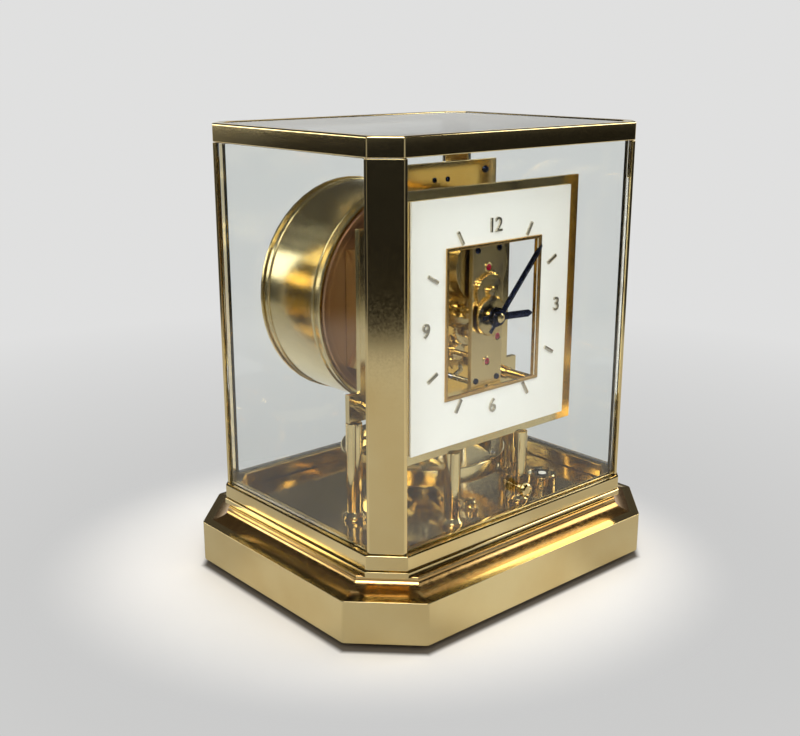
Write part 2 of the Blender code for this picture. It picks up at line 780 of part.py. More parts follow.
def rear_foot():
    """Fixed foot under the middle of the rear."""
    ceiling = z_web - SEAT_GAP
    profile = [
        (0, 0),
        (FOOT_RADIUS, 0),
        (FOOT_RADIUS, FOOT_PAD_THICKNESS),
        (FOOT_STEM_RADIUS, FOOT_PAD_THICKNESS),
        (FOOT_STEM_RADIUS, ceiling),
        (0, ceiling),
    ]
    return place(turned(profile, "Z", SMALL_SIDES), "rear_foot", "gilt", (0, foot_y, 0))


def levelling_foot(name, side):
    """Pad and screw of one front foot; the screw ends inside the plinth's flange."""
    top = z_shelf - FOOT_TRAVEL - SEAT_GAP
    profile = [
        (0, 0),
        (FOOT_RADIUS, 0),
        (FOOT_RADIUS, FOOT_PAD_THICKNESS),
        (FOOT_STEM_RADIUS, FOOT_PAD_THICKNESS),
        (FOOT_STEM_RADIUS, top),
        (0, top),
    ]
    return place(turned(profile, "Z", SMALL_SIDES), name, "steel", (side * foot_x, -foot_y, 0))


def levelling_wheel(name, side):
    """Notched wheel around one foot's screw, turned from under the plinth."""
    low = FOOT_PAD_THICKNESS + FOOT_WHEEL_LIFT
    outline = []
    for i in range(FOOT_WHEEL_NOTCHES):
        for share, radius in ((0, FOOT_WHEEL_RADIUS), (1 / 2, FOOT_WHEEL_RADIUS - FOOT_NOTCH_DEPTH)):
            turn = 2 * math.pi * (i + share) / FOOT_WHEEL_NOTCHES
            outline.append((radius * math.cos(turn), radius * math.sin(turn)))
    centre = (side * foot_x, -foot_y, 0)
    wheel = place(prism(outline, "Z", low, low + FOOT_WHEEL_THICKNESS), name, "gilt", centre)
    bore = rod_tool(
        f"{name}_bore",
        "Z",
        FOOT_STEM_RADIUS + RUNNING_GAP,
        low - CUT_OVERRUN,
        low + FOOT_WHEEL_THICKNESS + CUT_OVERRUN,
        centre,
    )
    return settle(combine(wheel, bore, "DIFFERENCE"))


# Plates, pillars and legs


def plate_with_window(name, finish, half_x, half_z, front, back, window_half_x, window_half_z):
    """A plate around the dial's centre with a rectangular window."""
    outline = [(-half_x, -half_z), (half_x, -half_z), (half_x, half_z), (-half_x, half_z)]
    origin = (0, 0, z_dial)
    plate = place(prism(outline, "Y", front, back), name, finish, origin)
    low = (-window_half_x, front - CUT_OVERRUN, z_dial - window_half_z)
    tool = box_tool(f"{name}_window", low, (window_half_x, back + CUT_OVERRUN, z_dial + window_half_z))
    return settle(combine(plate, tool, "DIFFERENCE"))


def dial():
    """White dial with its window."""
    return plate_with_window(
        "dial",
        "dial_white",
        DIAL_WIDTH / 2,
        dial_height / 2,
        y_dial_front,
        y_dial_back,
        WINDOW_WIDTH / 2,
        window_height / 2,
    )


def front_plate():
    """Front plate that carries the dial and shows as a border around it."""
    return plate_with_window(
        "front_plate",
        "gilt",
        front_plate_x,
        front_plate_z,
        y_front_plate,
        y_front_plate_back,
        WINDOW_WIDTH / 2 + WINDOW_RELIEF,
        window_height / 2 + WINDOW_RELIEF,
    )


def arbor_places():
    """Where each arbor crosses the plates: (x, z)."""
    return {
        "centre": (0, z_dial),
        "barrel": (0, z_barrel),
        "third": (THIRD_OFFSET, z_third),
        "escape": (0, z_escape),
        "pallet": (0, z_pallet),
    }


def bored(plate, radii, front, back):
    """Cuts the arbors' bores through a plate."""
    for arbor, radius in radii.items():
        x, z = arbor_places()[arbor]
        tool = rod_tool(
            f"{plate.name}_{arbor}",
            "Y",
            radius + RUNNING_GAP,
            front - CUT_OVERRUN,
            back + CUT_OVERRUN,
            (x, 0, z),
        )
        combine(plate, tool, "DIFFERENCE")
    return settle(plate)


def train_bridge():
    """Bar across the window, behind the front plate, for the front ends of the arbors."""
    half = BRIDGE_WIDTH / 2
    reach = max(window_height / 2 + WINDOW_RELIEF, z_dial - z_pallet) + BRIDGE_LAP
    low, high = z_dial - reach, z_dial + reach
    outline = [(-half, low), (half, low), (half, high), (-half, high)]
    bridge = place(prism(outline, "Y", y_bridge, y_bridge_back), "train_bridge", "gilt")
    radii = {
        "centre": cannon_outer,
        "barrel": PIVOT_RADIUS,
        "third": PIVOT_RADIUS,
        "escape": PIVOT_RADIUS,
        "pallet": PIVOT_RADIUS,
    }
    return bored(bridge, radii, y_bridge, y_bridge_back)


def back_plate():
    """Back plate: wide at the legs, then narrower, with a head that shows over the dial."""
    wide = back_plate_x
    waist = wide - BACK_PLATE_WAIST_INSIDE
    head = BACK_PLATE_HEAD_WIDTH / 2
    foot = z_back_plate + BACK_PLATE_FOOT_HEIGHT
    shoulder = z_dial + BACK_PLATE_ABOVE
    outline = [
        (-wide, z_back_plate),
        (wide, z_back_plate),
        (wide, foot),
        (waist, foot),
        (waist, shoulder),
        (head, shoulder),
        (head, z_back_plate_top),
        (-head, z_back_plate_top),
        (-head, shoulder),
        (-waist, shoulder),
        (-waist, foot),
        (-wide, foot),
    ]
    plate = place(prism(outline, "Y", y_back_plate, y_back_plate_rear), "back_plate", "gilt")
    radii = {
        "centre": PIVOT_RADIUS,
        "barrel": PIVOT_RADIUS,
        "third": PIVOT_RADIUS,
        "escape": PIVOT_RADIUS,
        "pallet": TRAIN_ARBOR_RADIUS,
    }
    return bored(plate, radii, y_back_plate, y_back_plate_rear)


def plate_pillar(name, x, z):
    """Turned pillar between the front and the back plate."""
    low = y_front_plate_back + SEAT_GAP
    high = y_back_plate - SEAT_GAP
    waist_share, end_share = 0.75, 0.12
    end = (high - low) * end_share
    profile = [
        (0, low),
        (PILLAR_RADIUS, low),
        (PILLAR_RADIUS, low + end),
        (PILLAR_RADIUS * waist_share, low + end),
        (PILLAR_RADIUS * waist_share, high - end),
        (PILLAR_RADIUS, high - end),
        (PILLAR_RADIUS, high),
        (0, high),
    ]
    return place(turned(profile, "Y", SMALL_SIDES), name, "gilt", (x, 0, z))


def leg(name, x, y, top):
    """Turned leg from the floor plate to a plate's lower edge."""
    low = z_floor + SEAT_GAP
    profile = [
        (0, low),
        (LEG_FOOT_RADIUS, low),
        (LEG_FOOT_RADIUS, low + LEG_FOOT_HEIGHT / 2),
        (LEG_RADIUS, low + LEG_FOOT_HEIGHT),
        (LEG_RADIUS, top),
        (0, top),
    ]
    return place(turned(profile, "Z", SMALL_SIDES), name, "gilt", (x, y, 0))


def legs():
    """Two legs under the front plate and two under the back plate."""
    front_top = z_dial - front_plate_z - SEAT_GAP
    rear_top = z_back_plate - SEAT_GAP
    for word, side in (("left", -1), ("right", 1)):
        leg(f"front_leg_{word}", side * FRONT_LEG_SPREAD / 2, y_front_leg, front_top)
        leg(f"rear_leg_{word}", side * rear_leg_x, y_rear_leg, rear_top)


# Hands and motion work

y_minute_wheel = y_bridge - RUNNING_GAP - MOTION_WHEEL_THICKNESS
y_hour_wheel = y_minute_wheel - RUNNING_GAP - MOTION_WHEEL_THICKNESS
y_hour_hand = y_dial_front - HAND_CLEARANCE - HAND_THICKNESS
y_minute_hand = y_hour_hand - HAND_CLEARANCE - HAND_THICKNESS
y_arbor_front = y_minute_hand - HAND_CLEARANCE

cannon_phase = 0.0
minute_wheel_phase = meshed_phase(cannon_phase, CANNON_TEETH, MINUTE_WHEEL_TEETH, math.pi / 2)
minute_pinion_phase = 0.0
hour_phase = meshed_phase(minute_pinion_phase, MINUTE_PINION_TEETH, HOUR_WHEEL_TEETH, -math.pi / 2)
great_phase = 0.0
centre_pinion_phase = meshed_phase(great_phase, BARREL_TEETH, CENTRE_PINION_TEETH, -math.pi / 2)
third_direction = math.atan2(-third_drop, THIRD_OFFSET)
escape_direction = math.atan2(third_drop - escape_drop, -THIRD_OFFSET)
centre_wheel_phase = 0.0
third_pinion_phase = meshed_phase(
    centre_wheel_phase, CENTRE_WHEEL_TEETH, THIRD_PINION_TEETH, third_direction
)
third_wheel_phase = 0.0
escape_pinion_phase = meshed_phase(
    third_wheel_phase, THIRD_WHEEL_TEETH, ESCAPE_PINION_TEETH, escape_direction
)


def hand_outline(length, width, boss, degrees):
    """Baton hand with a pointed tip and a tail, turned clockwise from twelve."""
    half = width / 2
    tip = HAND_TIP_WIDTH / 2
    taper_share, root_share = 0.9, 0.55
    upright = [
        (-half * root_share, -HAND_TAIL),
        (half * root_share, -HAND_TAIL),
        (half * root_share, -boss * root_share),
        (half, boss),
        (half, length * taper_share),
        (tip, length),
        (-tip, length),
        (-half, length * taper_share),
        (-half, boss),
        (-half * root_share, -boss * root_share),
    ]
    turn = -math.radians(degrees)
    cosine, sine = math.cos(turn), math.sin(turn)
    return [(x * cosine - z * sine, x * sine + z * cosine) for x, z in upright]


def hand(name, length, width, degrees, front, bore):
    """A hand with its round boss, bored for the shaft that it sits on."""
    centre = (0, 0, z_dial)
    boss = bore + HAND_BOSS_WALL
    back = front + HAND_THICKNESS
    blade = prism(hand_outline(length, width, boss, degrees), "Y", front, back)
    made = place(blade, name, "blued_steel", centre)
    round_boss = place(
        turned(disc_profile(boss, front - HAND_THICKNESS / 2, back + HAND_THICKNESS / 2), "Y", SMALL_SIDES),
        f"{name}_boss",
        "blued_steel",
        centre,
    )
    combine(made, round_boss, "UNION")
    hole = rod_tool(f"{name}_hole", "Y", bore, front - CUT_OVERRUN, back + CUT_OVERRUN, centre)
    return settle(combine(made, hole, "DIFFERENCE"))


def gear_on_tube(name, finish, teeth, module, phase, low, high, inner, outer, tube_low, tube_high, centre):
    """A gear joined to a coaxial tube, bored right through."""
    gear = prism(gear_outline(teeth, module, phase), "Y", low, high)
    made = place(gear, name, finish, centre, smooth=False)
    tube = rod_tool(f"{name}_tube", "Y", outer, tube_low, tube_high, centre)
    combine(made, tube, "UNION")
    bore = rod_tool(
        f"{name}_bore",
        "Y",
        inner,
        min(low, tube_low) - CUT_OVERRUN,
        max(high, tube_high) + CUT_OVERRUN,
        centre,
    )
    return settle(combine(made, bore, "DIFFERENCE"))


def cannon_pinion():
    """Pinion and tube that carry the minute hand, friction-tight on the centre arbor."""
    return gear_on_tube(
        "cannon_pinion",
        "steel",
        CANNON_TEETH,
        CANNON_MODULE,
        cannon_phase,
        y_minute_wheel,
        y_minute_wheel + MOTION_WHEEL_THICKNESS,
        cannon_inner,
        cannon_outer,
        y_minute_hand - HAND_THICKNESS,
        y_minute_wheel + MOTION_WHEEL_THICKNESS / 2,
        (0, 0, z_dial),
    )


def hour_wheel():
    """Hour wheel and the pipe that carries the hour hand."""
    return gear_on_tube(
        "hour_wheel",
        "gilt",
        HOUR_WHEEL_TEETH,
        hour_module,
        hour_phase,
        y_hour_wheel,
        y_hour_wheel + MOTION_WHEEL_THICKNESS,
        pipe_inner,
        pipe_outer,
        y_hour_hand - HAND_THICKNESS,
        y_hour_wheel + MOTION_WHEEL_THICKNESS / 2,
        (0, 0, z_dial),
    )


def minute_wheel():
    """Minute wheel and its pinion, on a stud in the bridge."""
    centre = (0, 0, z_minute_wheel)
    low = y_minute_wheel
    outline = gear_outline(MINUTE_WHEEL_TEETH, CANNON_MODULE, minute_wheel_phase)
    wheel = place(
        prism(outline, "Y", low, low + MOTION_WHEEL_THICKNESS),
        "minute_wheel",
        "gilt",
        centre,
        smooth=False,
    )
    pinion = place(
        prism(
            gear_outline(MINUTE_PINION_TEETH, hour_module, minute_pinion_phase),
            "Y",
            y_hour_wheel,
            low + MOTION_WHEEL_THICKNESS / 2,
        ),
        "minute_wheel_pinion",
        "gilt",
        centre,
    )
    combine(wheel, pinion, "UNION")
    return settle(wheel)


# Going train


def wheel_with_arbor(name, finish, gears, centre, front, back, arbor=TRAIN_ARBOR_RADIUS):
    """Gears on one arbor with a pivot at each end. gears: (outline, low, high)."""
    profile = [
        (0, front),
        (PIVOT_RADIUS, front),
        (PIVOT_RADIUS, front + PIVOT_LENGTH),
        (arbor, front + PIVOT_LENGTH),
        (arbor, back - PIVOT_LENGTH),
        (PIVOT_RADIUS, back - PIVOT_LENGTH),
        (PIVOT_RADIUS, back),
        (0, back),
    ]
    made = place(turned(profile, "Y", SMALL_SIDES), name, finish, centre, smooth=False)
    for i, (outline, low, high) in enumerate(gears):
        tool = place(prism(outline, "Y", low, high), f"{name}_gear_{i}", finish, centre)
        combine(made, tool, "UNION")
    return settle(made)


pivot_front = y_bridge_back - PIVOT_LENGTH + RUNNING_GAP
pivot_rear = y_back_plate + PIVOT_LENGTH - RUNNING_GAP


def centre_wheel():
    """Centre arbor, its pinion and its wheel; the arbor's front carries the cannon pinion."""
    centre = (0, 0, z_dial)
    profile = [
        (0, y_arbor_front),
        (ARBOR_RADIUS, y_arbor_front),
        (ARBOR_RADIUS, y_bridge_back + RUNNING_GAP),
        (TRAIN_ARBOR_RADIUS, y_bridge_back + RUNNING_GAP),
        (TRAIN_ARBOR_RADIUS, pivot_rear - PIVOT_LENGTH),
        (PIVOT_RADIUS, pivot_rear - PIVOT_LENGTH),
        (PIVOT_RADIUS, pivot_rear),
        (0, pivot_rear),
    ]
    made = place(turned(profile, "Y", SMALL_SIDES), "centre_wheel", "gilt", centre, smooth=False)
    pinion = gear_outline(CENTRE_PINION_TEETH, BARREL_MODULE, centre_pinion_phase)
    wheel = gear_outline(CENTRE_WHEEL_TEETH, TRAIN_MODULE, centre_wheel_phase)
    parts = (
        ("centre_pinion", pinion, y_centre_pinion, y_centre_pinion + PINION_THICKNESS),
        ("centre_gear", wheel, y_centre_wheel, y_centre_wheel + WHEEL_THICKNESS),
    )
    for tool_name, outline, low, high in parts:
        combine(made, place(prism(outline, "Y", low, high), tool_name, "gilt", centre), "UNION")
    return settle(made)


def barrel():
    """Mainspring barrel with its great wheel."""
    drum = circle_points(BARREL_DRUM_RADIUS, FINE_SIDES // 2)
    great = gear_outline(BARREL_TEETH, BARREL_MODULE, great_phase)
    overlap = GREAT_WHEEL_THICKNESS / 2
    gears = (
        (drum, y_barrel, y_great_wheel + overlap),
        (great, y_great_wheel, y_great_wheel + GREAT_WHEEL_THICKNESS),
    )
    return wheel_with_arbor("barrel", "copper", gears, (0, 0, z_barrel), pivot_front, pivot_rear)


def third_wheel():
    """Third wheel, driven by the centre wheel."""
    pinion = gear_outline(THIRD_PINION_TEETH, TRAIN_MODULE, third_pinion_phase)
    wheel = gear_outline(THIRD_WHEEL_TEETH, TRAIN_MODULE, third_wheel_phase)
    gears = (
        (pinion, y_third_pinion, y_third_pinion + PINION_THICKNESS),
        (wheel, y_third_wheel, y_third_wheel + WHEEL_THICKNESS),
    )
    centre = (THIRD_OFFSET, 0, z_third)
    return wheel_with_arbor("third_wheel", "gilt", gears, centre, pivot_front, pivot_rear)


def escape_wheel():
    """Escape wheel; each pallet stands over a space between two teeth."""
    gap_middle = math.radians(-90 + PALLET_SPAN_DEGREES)
    lean_share = 0.35
    phase = gap_middle - math.pi / ESCAPE_TEETH
    wheel = saw_outline(ESCAPE_TEETH, ESCAPE_RADIUS, ESCAPE_TOOTH_DEPTH, lean_share, phase)
    pinion = gear_outline(ESCAPE_PINION_TEETH, TRAIN_MODULE, escape_pinion_phase)
    gears = (
        (pinion, y_escape_pinion, y_escape_pinion + PINION_THICKNESS),
        (wheel, y_escape_wheel, y_escape_wheel + ESCAPE_THICKNESS),
    )
    return wheel_with_arbor("escape_wheel", "copper", gears, (0, 0, z_escape), pivot_front, pivot_rear)


def pallet_outline():
    """Anchor around the pivot: two arms that rise to the escape wheel's rim."""
    turn = math.radians(PALLET_SPAN_DEGREES)
    reach = ESCAPE_RADIUS + RUNNING_GAP
    tip_x = reach * math.sin(turn)
    tip_z = PALLET_PIVOT_DISTANCE - reach * math.cos(turn)
    half = PALLET_WIDTH / 2
    waist = FORK_ARM_WIDTH / 2
    low_share = 0.35
    right = [
        (waist, -waist),
        (tip_x + half + waist, tip_z * low_share),
        (tip_x + half, tip_z - half),
        (tip_x, tip_z),
        (tip_x - PALLET_WIDTH, tip_z - half),
        (tip_x - half, tip_z * low_share + waist),
        (waist, waist),
    ]
    return right + [(-x, z) for x, z in reversed(right)]


def pallet_fork():
    """Anchor, arbor and fork in one rocking piece; the pin dips between the fork's prongs."""
    centre = (0, 0, z_pallet)
    back = y_balance - IMPULSE_RADIUS - IMPULSE_PIN_RADIUS + FORK_PIN_BITE
    y_fork = back - FORK_THICKNESS
    profile = [
        (0, pivot_front),
        (PIVOT_RADIUS, pivot_front),
        (PIVOT_RADIUS, pivot_front + PIVOT_LENGTH),
        (TRAIN_ARBOR_RADIUS, pivot_front + PIVOT_LENGTH),
        (TRAIN_ARBOR_RADIUS, back),
        (0, back),
    ]
    made = place(turned(profile, "Y", SMALL_SIDES), "pallet_fork", "steel", centre, smooth=False)
    anchor = prism(pallet_outline(), "Y", y_escape_wheel, y_escape_wheel + ESCAPE_THICKNESS)
    combine(made, place(anchor, "pallet_anchor", "steel", centre), "UNION")
    waist = FORK_ARM_WIDTH / 2
    inner = IMPULSE_PIN_RADIUS + FORK_PIN_GAP
    outer = inner + FORK_ARM_WIDTH / 2
    crotch = -FORK_TAIL_LENGTH + IMPULSE_PIN_LENGTH
    arm = [
        (-outer, -FORK_TAIL_LENGTH),
        (-inner, -FORK_TAIL_LENGTH),
        (-inner, crotch),
        (inner, crotch),
        (inner, -FORK_TAIL_LENGTH),
        (outer, -FORK_TAIL_LENGTH),
        (outer, crotch + waist),
        (waist, crotch + 2 * waist),
        (waist, waist),
        (-waist, waist),
        (-waist, crotch + 2 * waist),
        (-outer, crotch + waist),
    ]
    lever = place(prism(arm, "Y", y_fork, back), "fork_arm", "steel", centre)
    return settle(combine(made, lever, "UNION"))


# Balance


def balance_ring():
    """Heavy ring on spokes and a hub, bored for the staff."""
    centre = (0, y_balance, z_balance)
    inner = balance_radius - BALANCE_RING_WIDTH
    edge = FRAME_EDGE
    profile = [
        (inner, 0),
        (balance_radius - edge, 0),
        (balance_radius, edge),
        (balance_radius, BALANCE_RING_HEIGHT - edge),
        (balance_radius - edge, BALANCE_RING_HEIGHT),
        (inner, BALANCE_RING_HEIGHT),
    ]
    ring = place(turned(profile, "Z", FINE_SIDES, ring=True), "balance_ring", "gilt", centre)
    hub = rod_tool("balance_hub", "Z", BALANCE_HUB_RADIUS, 0, BALANCE_SPOKE_HEIGHT, centre)
    reach = inner + BALANCE_RING_WIDTH / 2
    half = BALANCE_SPOKE_WIDTH / 2
    for i in range(BALANCE_SPOKES // 2):
        turn = 2 * math.pi * i / BALANCE_SPOKES
        arm = box((-reach, -half, 0), (reach, half, BALANCE_SPOKE_HEIGHT))
        spoke = place(arm, f"spoke_{i}", "gilt", centre)
        spoke.rotation_euler = (0, 0, turn)
        combine(hub, spoke, "UNION")
    combine(ring, settle(hub), "UNION")
    bore = rod_tool(
        "balance_bore",
        "Z",
        STAFF_RADIUS + SEAT_GAP,
        -CUT_OVERRUN,
        BALANCE_SPOKE_HEIGHT + CUT_OVERRUN,
        centre,
    )
    return settle(combine(ring, bore, "DIFFERENCE"))


def balance_staff():
    """Staff with its foot, the impulse roller and the pin that dips into the fork."""
    centre = (0, y_balance, 0)
    collar = z_balance + BALANCE_SPOKE_HEIGHT + SEAT_GAP
    roller_top = z_roller + ROLLER_THICKNESS
    collar_height_share = 0.8
    profile = [
        (0, z_staff_foot),
        (STAFF_RADIUS, z_staff_foot),
        (STAFF_RADIUS, collar),
        (STAFF_RADIUS * 2, collar),
        (STAFF_RADIUS * 2, collar + BALANCE_SPOKE_HEIGHT * collar_height_share),
        (STAFF_RADIUS, collar + BALANCE_SPOKE_HEIGHT * collar_height_share),
        (STAFF_RADIUS, z_roller),
        (ROLLER_RADIUS, z_roller),
        (ROLLER_RADIUS, roller_top),
        (STAFF_RADIUS, roller_top),
        (STAFF_RADIUS, z_staff_top),
        (0, z_staff_top),
    ]
    staff = place(turned(profile, "Z", SMALL_SIDES), "balance_staff", "steel", centre)
    pin = rod_tool(
        "impulse_pin",
        "Z",
        IMPULSE_PIN_RADIUS,
        z_roller + ROLLER_THICKNESS / 2,
        roller_top + IMPULSE_PIN_LENGTH - RUNNING_GAP,
        (0, y_balance - IMPULSE_RADIUS, 0),
    )
    return settle(combine(staff, pin, "UNION"))


def torsion_wire():
    """Wire that carries the balance from the suspension bracket."""
    low = z_staff_top + SEAT_GAP
    high = z_suspension - SEAT_GAP
    shape = turned(disc_profile(WIRE_RADIUS, low, high), "Z", WIRE_SIDES)
    return place(shape, "torsion_wire", "steel", (0, y_balance, 0))


def suspension_bracket():
    """Block on the back plate's head that holds the wire's upper end."""
    low = (-SUSPENSION_WIDTH / 2, y_back_plate_rear + SEAT_GAP, z_suspension)
    high = (SUSPENSION_WIDTH / 2, y_balance + SUSPENSION_LAP, z_suspension + SUSPENSION_HEIGHT)
    return place(box(low, high), "suspension_bracket", "gilt")


# Lock and spirit level

z_lock_table = z_staff_foot - LOCK_LIFT - SEAT_GAP - LOCK_TABLE_THICKNESS
z_lock_lever = z_floor + SEAT_GAP + LOCK_BOSS_THICKNESS + RUNNING_GAP


def lock_boss():
    """Boss on the floor: the lever turns around its neck, and the lifter slides in it."""
    low = z_floor + SEAT_GAP
    top = z_lock_table - RUNNING_GAP
    bore = LOCK_STEM_RADIUS + RUNNING_GAP
    bore_floor = z_lock_table - LOCK_STEM_LENGTH - RUNNING_GAP
    profile = [
        (0, low),
        (LOCK_BOSS_RADIUS, low),
        (LOCK_BOSS_RADIUS, low + LOCK_BOSS_THICKNESS),
        (LOCK_NECK_RADIUS, low + LOCK_BOSS_THICKNESS),
        (LOCK_NECK_RADIUS, top),
        (bore, top),
        (bore, bore_floor),
        (0, bore_floor),
    ]
    return place(turned(profile, "Z", MEDIUM_SIDES), "lock_boss", "gilt", (0, y_balance, 0))


def lock_lifter():
    """Table that rises under the balance, on a stem in the boss."""
    table = z_lock_table
    profile = [
        (0, table - LOCK_STEM_LENGTH),
        (LOCK_STEM_RADIUS, table - LOCK_STEM_LENGTH),
        (LOCK_STEM_RADIUS, table),
        (LOCK_TABLE_RADIUS, table),
        (LOCK_TABLE_RADIUS, table + LOCK_TABLE_THICKNESS),
        (0, table + LOCK_TABLE_THICKNESS),
    ]
    return place(turned(profile, "Z", MEDIUM_SIDES), "lock_lifter", "steel", (0, y_balance, 0))


def lock_lever():
    """Lever around the boss's neck, with a round grip at the front."""
    low = z_lock_lever
    high = low + LOCK_LEVER_THICKNESS
    centre = (0, y_balance, 0)
    inner = LOCK_NECK_RADIUS + RUNNING_GAP
    outer = inner + LOCK_HUB_WALL
    lever = place(turned(disc_profile(outer, low, high), "Z", MEDIUM_SIDES), "lock_lever", "gilt", centre)
    half = LOCK_LEVER_WIDTH / 2
    grip_at = LOCK_LEVER_REACH - LOCK_GRIP_RADIUS
    arm = place(box((-half, -grip_at, low), (half, 0, high)), "lever_arm", "gilt", centre)
    grip = rod_tool("lever_grip", "Z", LOCK_GRIP_RADIUS, low, high + LOCK_LEVER_THICKNESS, (0, -grip_at, 0))
    grip.parent = arm
    arm.rotation_euler = (0, 0, -math.radians(LOCK_REST_DEGREES))
    combine(lever, arm, "UNION")
    combine(lever, grip, "UNION")
    bore = rod_tool("lever_bore", "Z", inner, low - CUT_OVERRUN, high + CUT_OVERRUN, centre, MEDIUM_SIDES)
    return settle(combine(lever, bore, "DIFFERENCE"))


def level_cup():
    """Open cup of the spirit level, on the floor at the front right."""
    low = z_floor + SEAT_GAP
    inner = LEVEL_RADIUS - LEVEL_WALL
    profile = [
        (0, low),
        (LEVEL_RADIUS, low),
        (LEVEL_RADIUS, low + LEVEL_HEIGHT),
        (inner, low + LEVEL_HEIGHT),
        (inner, low + LEVEL_FLOOR),
        (0, low + LEVEL_FLOOR),
    ]
    return place(turned(profile, "Z", MEDIUM_SIDES), "level_cup", "gilt", (x_level, y_level, 0))


def level_vial():
    """Round glass vial in the cup."""
    low = z_floor + SEAT_GAP + LEVEL_FLOOR + SEAT_GAP
    high = z_floor + SEAT_GAP + LEVEL_HEIGHT
    shape = turned(disc_profile(LEVEL_RADIUS - LEVEL_WALL - SEAT_GAP, low, high), "Z", MEDIUM_SIDES)
    return place(shape, "level_vial", "glass", (x_level, y_level, 0))


# Bellows


def bellows_drum():
    """Drum that holds the capsule: a cup open to the rear, with a hole for the chain."""
    centre = (0, 0, z_dial)
    inner = DRUM_RADIUS - DRUM_WALL
    profile = [
        (0, y_drum),
        (DRUM_RADIUS - DRUM_LIP, y_drum),
        (DRUM_RADIUS, y_drum + DRUM_LIP),
        (DRUM_RADIUS, y_drum_rear),
        (inner, y_drum_rear),
        (inner, y_drum + DRUM_FACE),
        (0, y_drum + DRUM_FACE),
    ]
    drum = place(turned(profile, "Y", FINE_SIDES), "bellows_drum", "gilt", centre)
    hole = rod_tool(
        "chain_hole",
        "Y",
        CHAIN_HOLE_RADIUS,
        y_drum - CUT_OVERRUN,
        y_drum + DRUM_FACE + CUT_OVERRUN,
        (CHAIN_OFFSET, 0, z_dial),
    )
    return settle(combine(drum, hole, "DIFFERENCE"))


def drum_cover():
    """Cover screwed over the drum's rear."""
    centre = (0, 0, z_dial)
    low = y_drum_rear + SEAT_GAP
    radius = DRUM_RADIUS + DRUM_COVER_LAP
    profile = [
        (0, low),
        (radius, low),
        (radius, low + DRUM_COVER_THICKNESS - DRUM_LIP),
        (radius - DRUM_LIP, low + DRUM_COVER_THICKNESS),
        (0, low + DRUM_COVER_THICKNESS),
    ]
    return place(turned(profile, "Y", FINE_SIDES), "drum_cover", "gilt", centre)


def drum_bracket(name, side):
    """Block that carries the drum on the back plate, beside the balance staff."""
    middle = side * (back_plate_x - DRUM_BRACKET_FROM_SIDE)
    half = DRUM_BRACKET_WIDTH / 2
    low = (middle - half, y_back_plate_rear + SEAT_GAP, z_dial - DRUM_BRACKET_HEIGHT / 2)
    high = (middle + half, y_drum - SEAT_GAP, z_dial + DRUM_BRACKET_HEIGHT / 2)
    return place(box(low, high), name, "gilt")


y_spring = y_drum + DRUM_FACE + SEAT_GAP
y_pressure = y_spring + spring_length + SEAT_GAP
y_capsule = y_pressure + PRESSURE_PLATE_THICKNESS + SEAT_GAP


def return_spring():
    """Coil spring between the drum's face and the pressure plate."""
    start = y_spring + SPRING_WIRE_RADIUS
    rise = spring_length - 2 * SPRING_WIRE_RADIUS
    turns = max(1, round(rise / SPRING_PITCH))
    count = turns * SPRING_POINTS_A_TURN
    shape = bmesh.new()
    rings = []
    for i in range(count + 1):
        turn = 2 * math.pi * i / SPRING_POINTS_A_TURN
        along = start + rise * i / count
        ring = []
        for u, v in circle_points(SPRING_WIRE_RADIUS, WIRE_SIDES):
            radius = SPRING_RADIUS + u
            ring.append(shape.verts.new((radius * math.cos(turn), along + v, radius * math.sin(turn))))
        rings.append(ring)
    shape.faces.new(rings[0])
    shape.faces.new(rings[-1])
    for before, after in zip(rings, rings[1:]):
        for i in range(WIRE_SIDES):
            j = (i + 1) % WIRE_SIDES
            shape.faces.new((before[i], before[j], after[j], after[i]))
    return place(shape, "return_spring", "steel", (0, 0, z_dial))


def pressure_plate():
    """Plate on the capsule's front, pushed by the spring and pulling the chain."""
    low = y_pressure
    high = low + PRESSURE_PLATE_THICKNESS
    shape = turned(disc_profile(PRESSURE_PLATE_RADIUS, low, high), "Y", MEDIUM_SIDES)
    return place(shape, "pressure_plate", "steel", (0, 0, z_dial))


def winding_chain():
    """Chain from the pressure plate to the pulley, drawn as a tight cord of its width."""
    low = y_pulley
    shape = turned(disc_profile(CHAIN_RADIUS, low, y_pressure - SEAT_GAP), "Y", WIRE_SIDES)
    return place(shape, "winding_chain", "steel", (CHAIN_OFFSET, 0, z_dial))


def bellows_capsule():
    """Folded capsule between the pressure plate and the drum's cover, which closes its rear."""
    low = y_capsule
    high = y_drum_rear
    count = max(1, round((high - low) / CAPSULE_FOLD_PITCH))
    fold = (high - low) / count
    valley = CAPSULE_RADIUS - CAPSULE_FOLD_DEPTH
    folds = [(valley, low)]
    for i in range(count):
        folds.append((CAPSULE_RADIUS, low + (i + 1 / 2) * fold))
        folds.append((valley, low + (i + 1) * fold))
    inside = [(radius - CAPSULE_WALL, along) for radius, along in reversed(folds[1:])]
    floor = low + CAPSULE_WALL
    profile = [(0, low)] + folds + inside + [(valley - CAPSULE_WALL, floor), (0, floor)]
    return place(turned(profile, "Y", MEDIUM_SIDES), "bellows_capsule", "copper", (0, 0, z_dial))


# Winding pulley and click

z_click = z_pulley - RATCHET_RADIUS - CLICK_DROP


